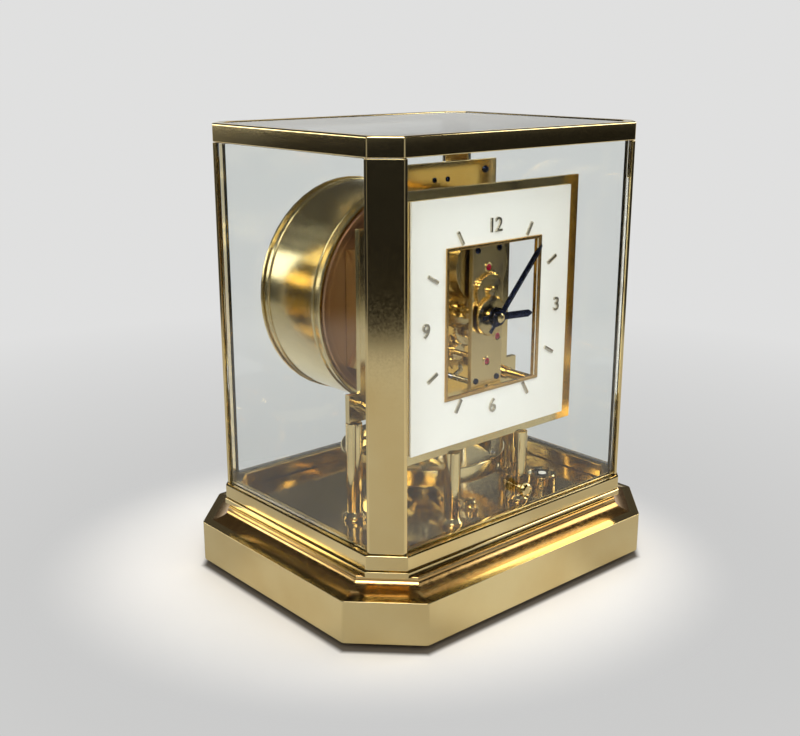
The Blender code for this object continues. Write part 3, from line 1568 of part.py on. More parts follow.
def winding_pulley():
    """Grooved pulley with its ratchet, on an arbor in the bracket's ear."""
    groove = PULLEY_GROOVE_RADIUS
    flange = PULLEY_FLANGE_RADIUS
    rim = PULLEY_FLANGE_THICKNESS
    end = x_ear + EAR_THICKNESS
    profile = [
        (0, x_pulley),
        (flange, x_pulley),
        (flange, x_pulley + rim),
        (groove, x_pulley + rim),
        (groove, x_ratchet - rim),
        (flange, x_ratchet - rim),
        (flange, x_ratchet),
        (PULLEY_ARBOR_RADIUS, x_ratchet),
        (PULLEY_ARBOR_RADIUS, end),
        (0, end),
    ]
    centre = (0, y_pulley, z_pulley)
    pulley = place(turned(profile, "X", MEDIUM_SIDES), "winding_pulley", "gilt", centre, smooth=False)
    lean_share = 0.75
    outline = saw_outline(RATCHET_TEETH, RATCHET_RADIUS, RATCHET_TOOTH_DEPTH, lean_share)
    shape = prism(outline, "X", x_ratchet - rim / 2, x_ratchet + RATCHET_THICKNESS)
    return settle(combine(pulley, place(shape, "ratchet", "gilt", centre), "UNION"))


def pulley_bracket():
    """Ear on the back plate, bored for the pulley's arbor and the click's pin."""
    low = y_back_plate_rear + SEAT_GAP
    high = y_pulley + EAR_MARGIN
    bottom = z_click - EAR_MARGIN
    top = z_pulley + EAR_MARGIN
    ear = place(box((x_ear, low, bottom), (x_ear + EAR_THICKNESS, high, top)), "pulley_bracket", "gilt")
    for name, radius, z in (("arbor", PULLEY_ARBOR_RADIUS, z_pulley), ("click", CLICK_PIN_RADIUS, z_click)):
        tool = rod_tool(
            f"ear_{name}",
            "X",
            radius + RUNNING_GAP,
            x_ear - CUT_OVERRUN,
            x_ear + EAR_THICKNESS + CUT_OVERRUN,
            (0, y_pulley, z),
        )
        combine(ear, tool, "DIFFERENCE")
    return settle(ear)


def click():
    """Click that lets the ratchet turn one way, on a pin in the ear."""
    centre = (0, y_pulley, z_click)
    low = x_ratchet + RUNNING_GAP
    high = x_ratchet + RATCHET_THICKNESS
    profile = [
        (0, low),
        (CLICK_HUB_RADIUS, low),
        (CLICK_HUB_RADIUS, high),
        (CLICK_PIN_RADIUS, high),
        (CLICK_PIN_RADIUS, x_ear + EAR_THICKNESS),
        (0, x_ear + EAR_THICKNESS),
    ]
    made = place(turned(profile, "X", SMALL_SIDES), "click", "steel", centre, smooth=False)
    turn = math.radians(CLICK_TIP_DEGREES)
    reach = RATCHET_RADIUS + RUNNING_GAP
    tip = (-reach * math.sin(turn), RATCHET_RADIUS + CLICK_DROP - reach * math.cos(turn))
    half = CLICK_PIN_RADIUS / 2
    arm = [
        (half, -half),
        (half, half),
        (tip[0] + half, tip[1] - half),
        tip,
        (tip[0] - half, tip[1] - 2 * half),
        (-2 * half, -half),
    ]
    return settle(combine(made, place(prism(arm, "X", low, high), "click_arm", "steel", centre), "UNION"))


def remove_everything():
    """Empties the file, so that the script gives the same result each time."""
    for thing in list(bpy.data.objects):
        bpy.data.objects.remove(thing)


def build():
    """Makes every piece of the clock."""
    remove_everything()
    base_plinth()
    floor_plate()
    lower_frame()
    top_frame()
    for depth_word, side_y in (("front", -1), ("rear", 1)):
        for side_word, side_x in (("left", -1), ("right", 1)):
            post(f"post_{depth_word}_{side_word}", side_x, side_y)
    top_glass()
    side_glass("left_glass", -1)
    side_glass("right_glass", 1)
    rear_glass()
    front_glass()
    front_knob()
    rear_foot()
    for word, side in (("left", -1), ("right", 1)):
        levelling_foot(f"levelling_foot_{word}", side)
        levelling_wheel(f"levelling_wheel_{word}", side)
    dial()
    front_plate()
    train_bridge()
    back_plate()
    plate_pillar("plate_pillar_left", -pillar_x, z_back_plate + PILLAR_FROM_BELOW)
    plate_pillar("plate_pillar_right", pillar_x, z_back_plate + PILLAR_FROM_BELOW)
    plate_pillar("plate_pillar_top", TOP_PILLAR_ASIDE, z_dial + front_plate_z - PILLAR_FROM_TOP)
    legs()
    hour_shape = (HOUR_HAND_LENGTH, HOUR_HAND_WIDTH, HOUR_HAND_DEGREES)
    hand("hour_hand", *hour_shape, y_hour_hand, pipe_outer + SEAT_GAP)
    minute_shape = (MINUTE_HAND_LENGTH, MINUTE_HAND_WIDTH, MINUTE_HAND_DEGREES)
    hand("minute_hand", *minute_shape, y_minute_hand, cannon_outer + SEAT_GAP)
    cannon_pinion()
    hour_wheel()
    minute_wheel()
    centre_wheel()
    barrel()
    third_wheel()
    escape_wheel()
    pallet_fork()
    balance_ring()
    balance_staff()
    torsion_wire()
    suspension_bracket()
    lock_boss()
    lock_lifter()
    lock_lever()
    level_cup()
    level_vial()
    bellows_drum()
    drum_cover()
    drum_bracket("drum_bracket_left", -1)
    drum_bracket("drum_bracket_right", 1)
    return_spring()
    pressure_plate()
    winding_chain()
    bellows_capsule()
    winding_pulley()
    pulley_bracket()
    click()


build()
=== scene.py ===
# %% [markdown]
# # Atmospheric clock: the looks
# A glazed gilt cabinet stands around a clock movement that the air winds. The solids come from
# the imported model, and this lesson gives them their finishes and the small pieces that a plain
# solid lacks. Everything is in metres, +Z is up, and the front faces -Y.

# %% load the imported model
from math import cos, degrees, pi, radians, sin, sqrt

import bpy
from mathutils import Matrix, Vector


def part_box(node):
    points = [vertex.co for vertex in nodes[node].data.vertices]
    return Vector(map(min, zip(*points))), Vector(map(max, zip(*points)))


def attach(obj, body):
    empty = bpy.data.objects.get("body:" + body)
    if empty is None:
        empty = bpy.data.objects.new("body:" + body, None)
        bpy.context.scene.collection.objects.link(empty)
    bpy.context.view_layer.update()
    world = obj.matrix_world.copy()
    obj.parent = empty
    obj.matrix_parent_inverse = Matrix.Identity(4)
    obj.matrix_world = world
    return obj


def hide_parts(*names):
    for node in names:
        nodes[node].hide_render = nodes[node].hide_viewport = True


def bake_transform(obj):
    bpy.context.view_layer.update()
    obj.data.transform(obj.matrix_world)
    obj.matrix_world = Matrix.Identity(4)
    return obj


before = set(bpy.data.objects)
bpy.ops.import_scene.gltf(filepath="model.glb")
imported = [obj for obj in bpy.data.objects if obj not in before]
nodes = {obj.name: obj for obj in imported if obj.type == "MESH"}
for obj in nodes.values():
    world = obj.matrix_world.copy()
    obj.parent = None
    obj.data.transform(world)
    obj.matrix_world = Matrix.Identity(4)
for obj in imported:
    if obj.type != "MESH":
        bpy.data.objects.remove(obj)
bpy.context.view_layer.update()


def rounded(values):
    """Lengths to a tenth of a millimetre, for printing."""
    return [round(v, 4) for v in values]


def middle_of(name):
    """The middle of a solid's box."""
    low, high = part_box(name)
    return (low + high) / 2


# %% [markdown]
# ## The camera
# The photograph was taken from the front left and a little above. The eye, the turn and the
# pitch below were worked out from the cabinet's corners. A camera placed by hand would drift,
# and every comparison with the photograph with it.

# %% camera
CAMERA_EYE = Vector((-0.38064, -0.41295, 0.26117))
CAMERA_TURN = radians(-41.3)
CAMERA_PITCH = radians(15.85)
CAMERA_LENS = 49.85
CAMERA_SENSOR = 36.0

across = cos(CAMERA_PITCH)
backwards = Vector(
    (sin(CAMERA_TURN) * across, -cos(CAMERA_TURN) * across, sin(CAMERA_PITCH))
)
lens = bpy.data.cameras.new("camera")
lens.lens = CAMERA_LENS
lens.sensor_width = CAMERA_SENSOR
camera = bpy.data.objects.new("camera", lens)
camera.location = CAMERA_EYE
camera.rotation_mode = "QUATERNION"
camera.rotation_quaternion = (-backwards).to_track_quat("-Z", "Y")
bpy.context.scene.collection.objects.link(camera)
bpy.context.scene.camera = camera
bpy.context.scene.view_settings.view_transform = "Standard"
print("camera at", rounded(CAMERA_EYE))

# %% [markdown]
# ## Working tools
# Blender's operators act on whatever is selected, and the loaded solids are all selected. So
# each piece starts from an empty selection. A finished piece has its place in its mesh and its
# object at the origin, as the solids have.


# %% selection and edit mode
def start_fresh():
    """Leaves edit mode and empties the selection."""
    if bpy.context.object and bpy.context.object.mode == "EDIT":
        bpy.ops.object.mode_set(mode="OBJECT")
    bpy.ops.object.select_all(action="DESELECT")


def only(piece):
    """Selects one piece alone."""
    start_fresh()
    piece.select_set(True)
    bpy.context.view_layer.objects.active = piece


def edit(piece):
    """Selects one piece alone and opens it in edit mode."""
    only(piece)
    bpy.ops.object.mode_set(mode="EDIT")


def take_all():
    """Selects all of the open mesh."""
    bpy.ops.mesh.select_all(action="SELECT")


def open_faces():
    """Opens the current piece in edit mode with all its faces selected."""
    bpy.ops.object.mode_set(mode="EDIT")
    bpy.ops.mesh.select_mode(type="FACE")
    take_all()


def select_where(piece, kind, test):
    """Selects the piece's faces or edges whose middle and direction pass the test."""
    edit(piece)
    bpy.ops.mesh.select_mode(type={"polygons": "FACE", "edges": "EDGE"}[kind])
    bpy.ops.mesh.select_all(action="DESELECT")
    bpy.ops.object.mode_set(mode="OBJECT")
    mesh = piece.data
    for item in getattr(mesh, kind):
        if kind == "polygons":
            item.select = test(item.center, item.normal)
        else:
            a, b = (mesh.vertices[i].co for i in item.vertices)
            item.select = test((a + b) / 2, (b - a).normalized())
    bpy.ops.object.mode_set(mode="EDIT")


print("helpers for selection are ready")

# %% places and normals
SMOOTH_ANGLE = radians(34)


def settle():
    """Puts the place, turn and size of what is selected into its mesh."""
    bpy.ops.object.transform_apply(location=True, rotation=True, scale=True)


def sized(*size):
    """Gives the primitive that was just added its size."""
    piece = bpy.context.object
    piece.scale = size
    settle()
    return piece


def finish_piece(piece, name, turn=(0, 0, 0), centre=(0, 0, 0), smooth=True):
    """Names a piece, turns and moves it into its place, and puts that place into its mesh."""
    edit(piece)
    take_all()
    bpy.ops.mesh.normals_make_consistent(inside=False)
    only(piece)
    piece.name = name
    piece.data.name = name
    piece.rotation_euler = turn
    piece.location = centre
    settle()
    if smooth:
        bpy.ops.object.shade_smooth_by_angle(angle=SMOOTH_ANGLE)
    return piece


def weigh_faces(piece):
    """Lets the large faces set the normals, so that a flat face next to a rounding looks flat."""
    flatten = piece.modifiers.new("flat_faces", "WEIGHTED_NORMAL")
    flatten.mode = "FACE_AREA"
    flatten.weight = 100
    return flatten


def even_normals(piece):
    """Weighs a piece's faces and applies the result."""
    only(piece)
    weigh_faces(piece).keep_sharp = True
    bpy.ops.object.modifier_apply(modifier="flat_faces")


print("edges under", round(degrees(SMOOTH_ANGLE)), "degrees are shaded smooth")


# %% copies and cuts
def twin_of(master, name, place):
    """A copy with a mesh of its own, moved and turned by a place matrix."""
    start_fresh()
    twin = master.copy()
    twin.data = master.data.copy()
    bpy.context.scene.collection.objects.link(twin)
    twin.name = name
    twin.data.name = name
    only(twin)
    twin.matrix_world = place
    settle()
    return twin


def cut_away(piece, tool, name):
    """Cuts a tool's shape out of a piece, and removes the tool."""
    only(piece)
    cut = piece.modifiers.new(name, "BOOLEAN")
    cut.operation = "DIFFERENCE"
    cut.object = tool
    bpy.ops.object.modifier_apply(modifier=name)
    bpy.data.objects.remove(tool)


def fit_to(piece, finish, body, slot, *replaced):
    """Gives a finished piece its material and its body; the slot is not used."""
    even_normals(piece)
    piece.data.materials.append(finish)
    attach(piece, body)
    if replaced:
        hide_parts(*replaced)
    return piece


print("helpers for copies and cuts are ready")

# %% [markdown]
# Most pieces of a clock are turned on a lathe. A lathe profile is a list of (radius, height)
# pairs: the circle is extruded to each height and scaled to each radius. A spin of a drawn
# profile would give the same skin, but the list reads like the turner's drawing. A ring has a
# hole, so its last loop is bridged to its first.

# %% lathe
AXIS_TURNS = {"Y": (-pi / 2, 0, 0), "Z": (0, 0, 0)}


def lathe(name, stations, axis="Z", centre=(0, 0, 0), sides=64, ring=False):
    """A turned piece: a circle extruded and scaled through the stations (radius, height)."""
    start_fresh()
    radius, height = stations[0]
    bpy.ops.mesh.primitive_circle_add(
        vertices=sides, radius=radius, fill_type="NOTHING" if ring else "NGON"
    )
    piece = bpy.context.object
    bpy.ops.object.mode_set(mode="EDIT")
    bpy.ops.mesh.select_mode(type="VERT")
    take_all()
    bpy.ops.transform.translate(value=(0, 0, height))
    for wider, higher in stations[1:]:
        bpy.ops.mesh.extrude_region_move(
            TRANSFORM_OT_translate={"value": (0, 0, higher - height)}
        )
        share = wider / radius
        bpy.ops.transform.resize(value=(share, share, 1), center_override=(0, 0, higher))
        radius, height = wider, higher
    if ring:
        bpy.ops.mesh.select_mode(type="EDGE")
        bpy.ops.mesh.select_all(action="DESELECT")
        bpy.ops.mesh.select_non_manifold()
        bpy.ops.mesh.bridge_edge_loops()
    return finish_piece(piece, name, AXIS_TURNS[axis], centre)


print("the lathe takes", list(AXIS_TURNS), "as its axis")

# %% [markdown]
# ## Nodes
# A material or a sky is a web of nodes. One helper adds a node with its settings, and gives each
# input a value or a link, so that a web reads like a recipe. An effect that several materials
# use is a group with named inputs and outputs, made once and placed where it is needed.


# %% adding nodes
def feed(tree, node, inputs):
    """Gives each input of a node a value, or a link if it is another node's socket."""
    for label, value in inputs.items():
        if isinstance(value, bpy.types.NodeSocket):
            tree.links.new(value, node.inputs[label])
        else:
            node.inputs[label].default_value = value
    return node


def add_node(tree, kind, inputs=None, **settings):
    """A new shader node with its settings and its inputs."""
    node = tree.nodes.new(f"ShaderNode{kind}")
    for label, value in settings.items():
        setattr(node, label, value)
    return feed(tree, node, inputs or {})


FLOAT, COLOUR, VECTOR = "NodeSocketFloat", "NodeSocketColor", "NodeSocketVector"


def new_group(name, inputs, outputs):
    """An empty shader group with its sockets, and its two end nodes."""
    tree = bpy.data.node_groups.new(name, "ShaderNodeTree")
    for in_out, sockets in (("INPUT", inputs), ("OUTPUT", outputs)):
        for label, kind in sockets.items():
            tree.interface.new_socket(label, in_out=in_out, socket_type=kind)
    return tree, tree.nodes.new("NodeGroupInput"), tree.nodes.new("NodeGroupOutput")


def add_group(tree, group, inputs):
    """Places a node group and sets its inputs."""
    return add_node(tree, "Group", inputs, node_tree=group)


def new_finish(name):
    """A new material, with its web of nodes and its shader."""
    made = bpy.data.materials.new(name)
    made.use_nodes = True
    return made, made.node_tree, made.node_tree.nodes["Principled BSDF"]


print("helpers for nodes are ready")


# %% sums, ranges and mixes
def counted(tree, left, right, operation):
    """A small sum between sockets or numbers."""
    return add_node(tree, "Math", {0: left, 1: right}, operation=operation).outputs["Value"]


def on_vectors(tree, operation, *vectors, gives="Vector"):
    """Works on one or two vectors; a length or a dot product gives a Value."""
    return add_node(
        tree, "VectorMath", dict(enumerate(vectors)), operation=operation
    ).outputs[gives]


def fitted(tree, value, limits, to_low=0.0, to_high=1.0):
    """Spreads what lies between two limits over a new range, given as numbers or sockets."""
    low, high = limits
    spread = {"From Min": low, "From Max": high, "To Min": to_low, "To Max": to_high}
    return add_node(tree, "MapRange", {"Value": value, **spread}).outputs["Result"]


def eased(tree, value, limits, least=0.0):
    """From least to 1 with soft ends, as a value goes from one limit to the other."""
    start, end = limits
    spread = {"Value": value, "From Min": start, "From Max": end, "To Min": least}
    return add_node(tree, "MapRange", spread, interpolation_type="SMOOTHSTEP").outputs["Result"]


def two_tones(tree, share, first, second):
    """A colour between two, by a share."""
    return add_node(
        tree, "Mix", {"Factor": share, "A": first, "B": second}, data_type="RGBA"
    ).outputs["Result"]


def ramp(tree, value, stops):
    """A colour that goes from one stop to the next, each a place and a colour."""
    node = add_node(tree, "ValToRGB", {"Fac": value})
    for element, (spot, colour) in zip(node.color_ramp.elements, stops):
        element.position = spot
        element.color = colour
    return node.outputs["Color"]


def blended(tree, share, first, second):
    """The first shader where the share is 0, and the second where it is 1."""
    return add_node(tree, "MixShader", {"Fac": share, 1: first, 2: second}).outputs["Shader"]


print("helpers for sums and mixes are ready")

# %% [markdown]
# ## The studio
# A large pale table carries the shadow, and four soft lamps and the sky light the clock.
# Polished metal has almost no look of its own: it shows the room. The photograph's metal is
# bright low down, where it mirrors the near table, and dark higher up, so the room that mirrors
# see gets darker overhead. Its table is bright around the clock, greyer beyond, and dark in the
# gap under the plinth, so the table changes with the distance from it. Near the clock the lamps
# light the table; beyond it, a glowing backdrop is painted grey close in and paler far off, a
# painted fall-off of light. The dark under the plinth is a painted shadow in the table's colour,
# on top of the shadow that the plinth really casts.

# %% table
FLOOR_SIZE = 8.0
FLOOR_COLOUR = (0.86, 0.85, 0.83, 1.0)
FLOOR_CLOUDED = (0.88, 0.87, 0.86, 1.0)
FLOOR_CLOUD_SCALE = 1.3
TABLE_MIDDLE = (-0.018, 0.001, 0.0)
GLOW_CENTRE = (-0.022, 0.0085, 0.0)
GLOW_DEPTH_SHARE = 0.86
PLINTH_CUT = 0.0275

start_fresh()
bpy.ops.mesh.primitive_plane_add(size=FLOOR_SIZE, location=(0, 0, 0))
floor = bpy.context.object
floor.name = "studio_floor"
floor_finish, web, shader = new_finish("studio_floor")
place = add_node(web, "TexCoord").outputs["Object"]
cloud = add_node(web, "TexNoise", {"Vector": place, "Scale": FLOOR_CLOUD_SCALE}).outputs["Fac"]
tint = two_tones(web, cloud, FLOOR_COLOUR, FLOOR_CLOUDED)
apart = on_vectors(web, "SUBTRACT", place, TABLE_MIDDLE)
reach = on_vectors(web, "LENGTH", apart, gives="Value")
shape = {
    "Vector": place,
    "Location": GLOW_CENTRE,
    "Rotation": (0.0, 0.0, CAMERA_TURN),
    "Scale": (1.0, GLOW_DEPTH_SHARE, 1.0),
}
oval = add_node(web, "Mapping", shape, vector_type="TEXTURE")
oval_reach = on_vectors(web, "LENGTH", oval.outputs["Vector"], gives="Value")


def beyond_outline(tree, vector, half_x, half_y, leg):
    """How far a point of the table lies outside a rectangle with cut corners."""
    split = add_node(tree, "SeparateXYZ", {"Vector": vector})
    across = counted(tree, split.outputs["X"], 0.0, "ABSOLUTE")
    deep = counted(tree, split.outputs["Y"], 0.0, "ABSOLUTE")
    corner = counted(tree, across, deep, "ADD")
    corner = counted(tree, corner, half_x + half_y - leg, "SUBTRACT")
    corner = counted(tree, corner, sqrt(0.5), "MULTIPLY")
    across = counted(tree, across, half_x, "SUBTRACT")
    deep = counted(tree, deep, half_y, "SUBTRACT")
    return counted(tree, counted(tree, across, deep, "MAXIMUM"), corner, "MAXIMUM")


plinth_low, plinth_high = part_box("base_plinth")
off_plinth = beyond_outline(web, place, plinth_high.x, plinth_high.y, PLINTH_CUT)
print("table", FLOOR_SIZE, "m wide")


# %% the room that mirrors see
def ray_kinds(tree):
    """Two masks: rays straight from the camera, and rays that metal or glass has mirrored."""
    path = add_node(tree, "LightPath").outputs
    looking = counted(tree, path["Is Camera Ray"], path["Is Transmission Ray"], "MAXIMUM")
    mirrored = counted(tree, path["Glossy Depth"], 1.0, "MINIMUM")
    scattered = counted(tree, path["Diffuse Depth"], 1.0, "MINIMUM")
    straight = counted(tree, looking, counted(tree, 1.0, mirrored, "SUBTRACT"), "MULTIPLY")
    smooth = counted(tree, 1.0, scattered, "SUBTRACT")
    return counted(tree, straight, smooth, "MULTIPLY"), counted(tree, mirrored, smooth, "MULTIPLY")


ROOM_SIDES = [  # direction, where its brightness starts and ends, and its strength
    ((0.67, 0.74, 0.0), (0.15, 0.60), 1.0),
    ((0.0, -1.0, 0.0), (0.84, 0.97), 0.55),
    ((-1.0, 0.0, 0.0), (0.88, 0.98), 0.45),
]
room, given, result = new_group("room around", {"Direction": VECTOR}, {"Brightness": FLOAT})
level = on_vectors(room, "MULTIPLY", given.outputs["Direction"], (1.0, 1.0, 0.0))
aimed = on_vectors(room, "NORMALIZE", level)
brightness = 0.0
for side, limits, strength in ROOM_SIDES:
    toward = eased(room, on_vectors(room, "DOT_PRODUCT", aimed, side, gives="Value"), limits)
    brightness = counted(room, brightness, counted(room, toward, strength, "MULTIPLY"), "ADD")
feed(room, result, {"Brightness": brightness})
print("bright sides of the room:", len(ROOM_SIDES))

# %% the table's finish
FLOOR_ROUGHNESS = 0.85
FLOOR_GLOSS = 0.2
# colour and soft edge of the painted shadow under the plinth
PAINTED_GAP_SHADOW = (0.14, 0.12, 0.095, 1.0)
PAINTED_SHADOW_EDGE = (-0.0010, 0.0030)
GLOW_EDGE = (0.110, 0.190)
# grey close in and paler far off: a painted fall-off of light beyond the lit table
PAINTED_FALLOFF_GREY = (0.60, 0.60, 0.595, 1.0)
BACKDROP_COLOUR = (0.745, 0.745, 0.742, 1.0)
PAINTED_FALLOFF_STOPS = ((0.20, PAINTED_FALLOFF_GREY), (0.60, BACKDROP_COLOUR))
MIRRORED_EDGE = (0.56, 0.70)
TABLE_DIMMED = 0.50
DARKEST = 0.012
FLOOR_SHARE = 0.7

looking, mirrored = ray_kinds(web)
# painted shadow: the table's colour turns dark inside the plinth's outline
outside_painted_shadow = eased(web, off_plinth, PAINTED_SHADOW_EDGE)
look = {
    "Base Color": two_tones(web, outside_painted_shadow, PAINTED_GAP_SHADOW, tint),
    "Roughness": FLOOR_ROUGHNESS,
    "Specular IOR Level": FLOOR_GLOSS,
}
feed(web, shader, look)
around = add_group(web, room, {"Direction": place}).outputs["Brightness"]
around = counted(web, counted(web, around, FLOOR_SHARE, "MULTIPLY"), DARKEST, "MAXIMUM")
far_room = add_node(web, "Emission", {"Strength": around}).outputs["Emission"]
share = counted(web, eased(web, reach, MIRRORED_EDGE, TABLE_DIMMED), mirrored, "MULTIPLY")
surface = blended(web, share, shader.outputs["BSDF"], far_room)
# beyond the lit table, camera rays see a glowing backdrop painted with a fall-off of light
painted_falloff_backdrop = add_node(web, "Emission", {"Color": ramp(web, reach, PAINTED_FALLOFF_STOPS)}).outputs["Emission"]
share = counted(web, eased(web, oval_reach, GLOW_EDGE), looking, "MULTIPLY")
# no backdrop inside the plinth's outline, so the painted shadow shows there
share = counted(web, share, outside_painted_shadow, "MULTIPLY")
surface = blended(web, share, surface, painted_falloff_backdrop)
feed(web, web.nodes["Material Output"], {"Surface": surface})
floor.data.materials.append(floor_finish)
print("the glow fades between", GLOW_EDGE, "m from the clock")

# %% lamps
LAMPS = {  # place, width, power and colour
    "key": ((-1.1, -1.3, 1.5), 1.2, 26.0, (1.0, 0.985, 0.96)),
    "fill": ((1.5, -0.7, 0.9), 1.0, 9.0, (1.0, 1.0, 1.0)),
    "back": ((1.0, 0.9, 2.1), 1.1, 8.0, (1.0, 1.0, 1.0)),
    "window": ((-0.80, 1.08, 0.42), 0.44, 1.7, (1.0, 0.99, 0.95)),
}
LAMP_AIM = Vector((0, 0, 0.11))

for name, (spot, size, power, colour) in LAMPS.items():
    light = bpy.data.lights.new(name, "AREA")
    light.shape = "DISK"
    light.size = size
    light.energy = power
    light.color = colour
    lamp = bpy.data.objects.new(name, light)
    lamp.location = spot
    lamp.rotation_euler = (LAMP_AIM - Vector(spot)).to_track_quat("-Z", "Y").to_euler()
    bpy.context.scene.collection.objects.link(lamp)
print("lamps:", sorted(LAMPS))

# %% sky
SKY_COLOUR = (1.0, 0.99, 0.98, 1.0)
SKY_STRENGTH = 0.6
SKY_STOPS = ((0.10, (0.62, 0.62, 0.60, 1.0)), (0.24, (0.06, 0.055, 0.05, 1.0)))
SKY_LEAST = 0.10

sky = bpy.data.worlds.new("sky")
bpy.context.scene.world = sky
sky.use_nodes = True
web = sky.node_tree
web.nodes.clear()
direction = add_node(web, "TexCoord").outputs["Generated"]
height = add_node(web, "SeparateXYZ", {"Vector": direction}).outputs["Z"]
around = add_group(web, room, {"Direction": direction}).outputs["Brightness"]
around = counted(web, around, SKY_LEAST, "MAXIMUM")
lit = add_node(web, "Background", {"Color": SKY_COLOUR, "Strength": SKY_STRENGTH})
seen = add_node(web, "Background", {"Color": BACKDROP_COLOUR})
overhead = add_node(web, "Background", {"Color": ramp(web, height, SKY_STOPS), "Strength": around})
looking, mirrored = ray_kinds(web)
surface = blended(web, mirrored, lit.outputs["Background"], overhead.outputs["Background"])
surface = blended(web, looking, surface, seen.outputs["Background"])
add_node(web, "OutputWorld", {"Surface": surface})
print("sky strength", SKY_STRENGTH)

# %% [markdown]
# ## Finishes
# Every finish on this clock is metal, lacquer or glass, so a few things repeat: a slow change of
# tone where the plating has aged, the fine marks of polishing, the straight grain of a brushed
# plate, and the rings of a turned face. Each is a node group that is used at different scales.

# %% node groups
PATCH_SPREAD = (0.35, 0.7)
MARK_SPREAD = (0.3, 0.7)
GRAIN_STRETCH = (20.0, 20.0, 0.5)


def scaled_noise(tree, scale, detail, stretch=(1, 1, 1)):
    """Noise on Object coordinates, at a scale, and drawn out by a stretch."""
    place = add_node(tree, "TexCoord").outputs["Object"]
    drawn = add_node(tree, "Mapping", {"Vector": place, "Scale": stretch}).outputs["Vector"]
    noise = add_node(tree, "TexNoise", {"Vector": drawn, "Scale": scale, "Detail": detail})
    return noise.outputs["Fac"]


def marks_group(name, **extra):
    """An empty group for marks, with their scale and the roughness that they give."""
    inputs = {**extra, "Mark scale": FLOAT, "Least rough": FLOAT, "Most rough": FLOAT}
    return new_group(name, inputs, {"Roughness": FLOAT, "Height": FLOAT})


def finish_marks(tree, given, result, height):
    """Gives a group of marks its roughness, between its two limits, and its height."""
    limits = given.outputs["Least rough"], given.outputs["Most rough"]
    rough = fitted(tree, height, MARK_SPREAD, *limits)
    feed(tree, result, {"Roughness": rough, "Height": height})


ageing, given, result = new_group(
    "aged tone", {"Bright": COLOUR, "Deep": COLOUR, "Patch scale": FLOAT}, {"Tone": COLOUR}
)
patches = fitted(ageing, scaled_noise(ageing, given.outputs["Patch scale"], 5.0), PATCH_SPREAD)
tone = two_tones(ageing, patches, given.outputs["Bright"], given.outputs["Deep"])
feed(ageing, result, {"Tone": tone})

polish, given, result = marks_group("polishing marks")
finish_marks(polish, given, result, scaled_noise(polish, given.outputs["Mark scale"], 3.0))

grain, given, result = marks_group("brushed grain")
lines = scaled_noise(grain, given.outputs["Mark scale"], 4.0, GRAIN_STRETCH)
finish_marks(grain, given, result, lines)

rings, given, result = marks_group("turned grain", Centre=VECTOR, Plane=VECTOR)
place = add_node(rings, "TexCoord").outputs["Object"]
apart = on_vectors(rings, "SUBTRACT", place, given.outputs["Centre"])
flat = on_vectors(rings, "MULTIPLY", apart, given.outputs["Plane"])
reach = on_vectors(rings, "LENGTH", flat, gives="Value")
look = {"W": reach, "Scale": given.outputs["Mark scale"], "Detail": 3.0}
circles = add_node(rings, "TexNoise", look, noise_dimensions="1D")
finish_marks(rings, given, result, circles.outputs["Fac"])
print("node groups:", [g.name for g in bpy.data.node_groups])

# %% [markdown]
# A metal finish joins the aged tone with one kind of marks. Gold plate that was polished on a
# wheel gets fine marks in every direction, plates that were drawn over emery get a straight
# grain, and turned pieces get rings around their axis. One function wires them, so that each
# finish is only its two colours, the size of its patches and its marks.

# %% metal finishes
BUMP_DISTANCE = 0.00002


def marks(group, low, high, scale, **more):
    """A group of marks and its inputs: least and most roughness, and scale."""
    return group, {"Mark scale": scale, "Least rough": low, "Most rough": high, **more}


def turned(low, high, scale, centre=None, plane=(1, 0, 1)):
    """Rings around the dial's axis, or around an axis of their own."""
    return marks(rings, low, high, scale, Centre=centre or (0.0, 0.0, dial_z), Plane=plane)


def metal(name, bright, deep, patch_scale, marked, bump, metallic=1.0, coat=0.0):
    """A metal or lacquer: aged tone for colour, and one kind of marks for gloss and relief."""
    made, web, shader = new_finish(name)
    tone = add_group(
        web, ageing, {"Bright": (*bright, 1), "Deep": (*deep, 1), "Patch scale": patch_scale}
    )
    surface = add_group(web, *marked).outputs
    relief = add_node(
        web, "Bump", {"Strength": bump, "Distance": BUMP_DISTANCE, "Height": surface["Height"]}
    )
    look = {
        "Base Color": tone.outputs["Tone"],
        "Metallic": metallic,
        "Roughness": surface["Roughness"],
        "Normal": relief.outputs["Normal"],
        "Coat Weight": coat,
    }
    feed(web, shader, look)
    return made


def turned_gilt(name, centre=None, plane=(1, 0, 1)):
    """The gilt of a turned piece, with its rings around the piece's own axis."""
    rings_here = turned(0.15, 0.26, 1100.0, centre, plane)
    return metal(name, (0.85, 0.68, 0.34), (0.77, 0.59, 0.27), 26.0, rings_here, 0.06)


dial_low, dial_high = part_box("dial")
dial_z = (dial_low.z + dial_high.z) / 2
POLISHED = {  # bright and deep colour, size of patches, marks' roughness and scale, relief
    "gilt_polished": ((0.86, 0.70, 0.36), (0.79, 0.60, 0.27), 22.0, (0.09, 0.15, 900), 0.03),
    # a darker, redder gilt, for the hollow moulding and the window frame
    "gilt_darker_moulding": ((0.72, 0.48, 0.19), (0.52, 0.29, 0.09), 16.0, (0.14, 0.26, 350), 0.15),
    "gilt_drum_side": ((0.76, 0.64, 0.36), (0.70, 0.57, 0.29), 24.0, (0.17, 0.24, 700), 0.05),
    "hour_mark_gilt": ((0.72, 0.66, 0.52), (0.55, 0.50, 0.42), 90.0, (0.12, 0.24, 600), 0.15),
    "steel_polished": ((0.62, 0.62, 0.63), (0.48, 0.48, 0.50), 60.0, (0.16, 0.30, 600), 0.15),
    "steel_blued": ((0.035, 0.045, 0.10), (0.015, 0.02, 0.05), 80.0, (0.18, 0.32, 700), 0.15),
}
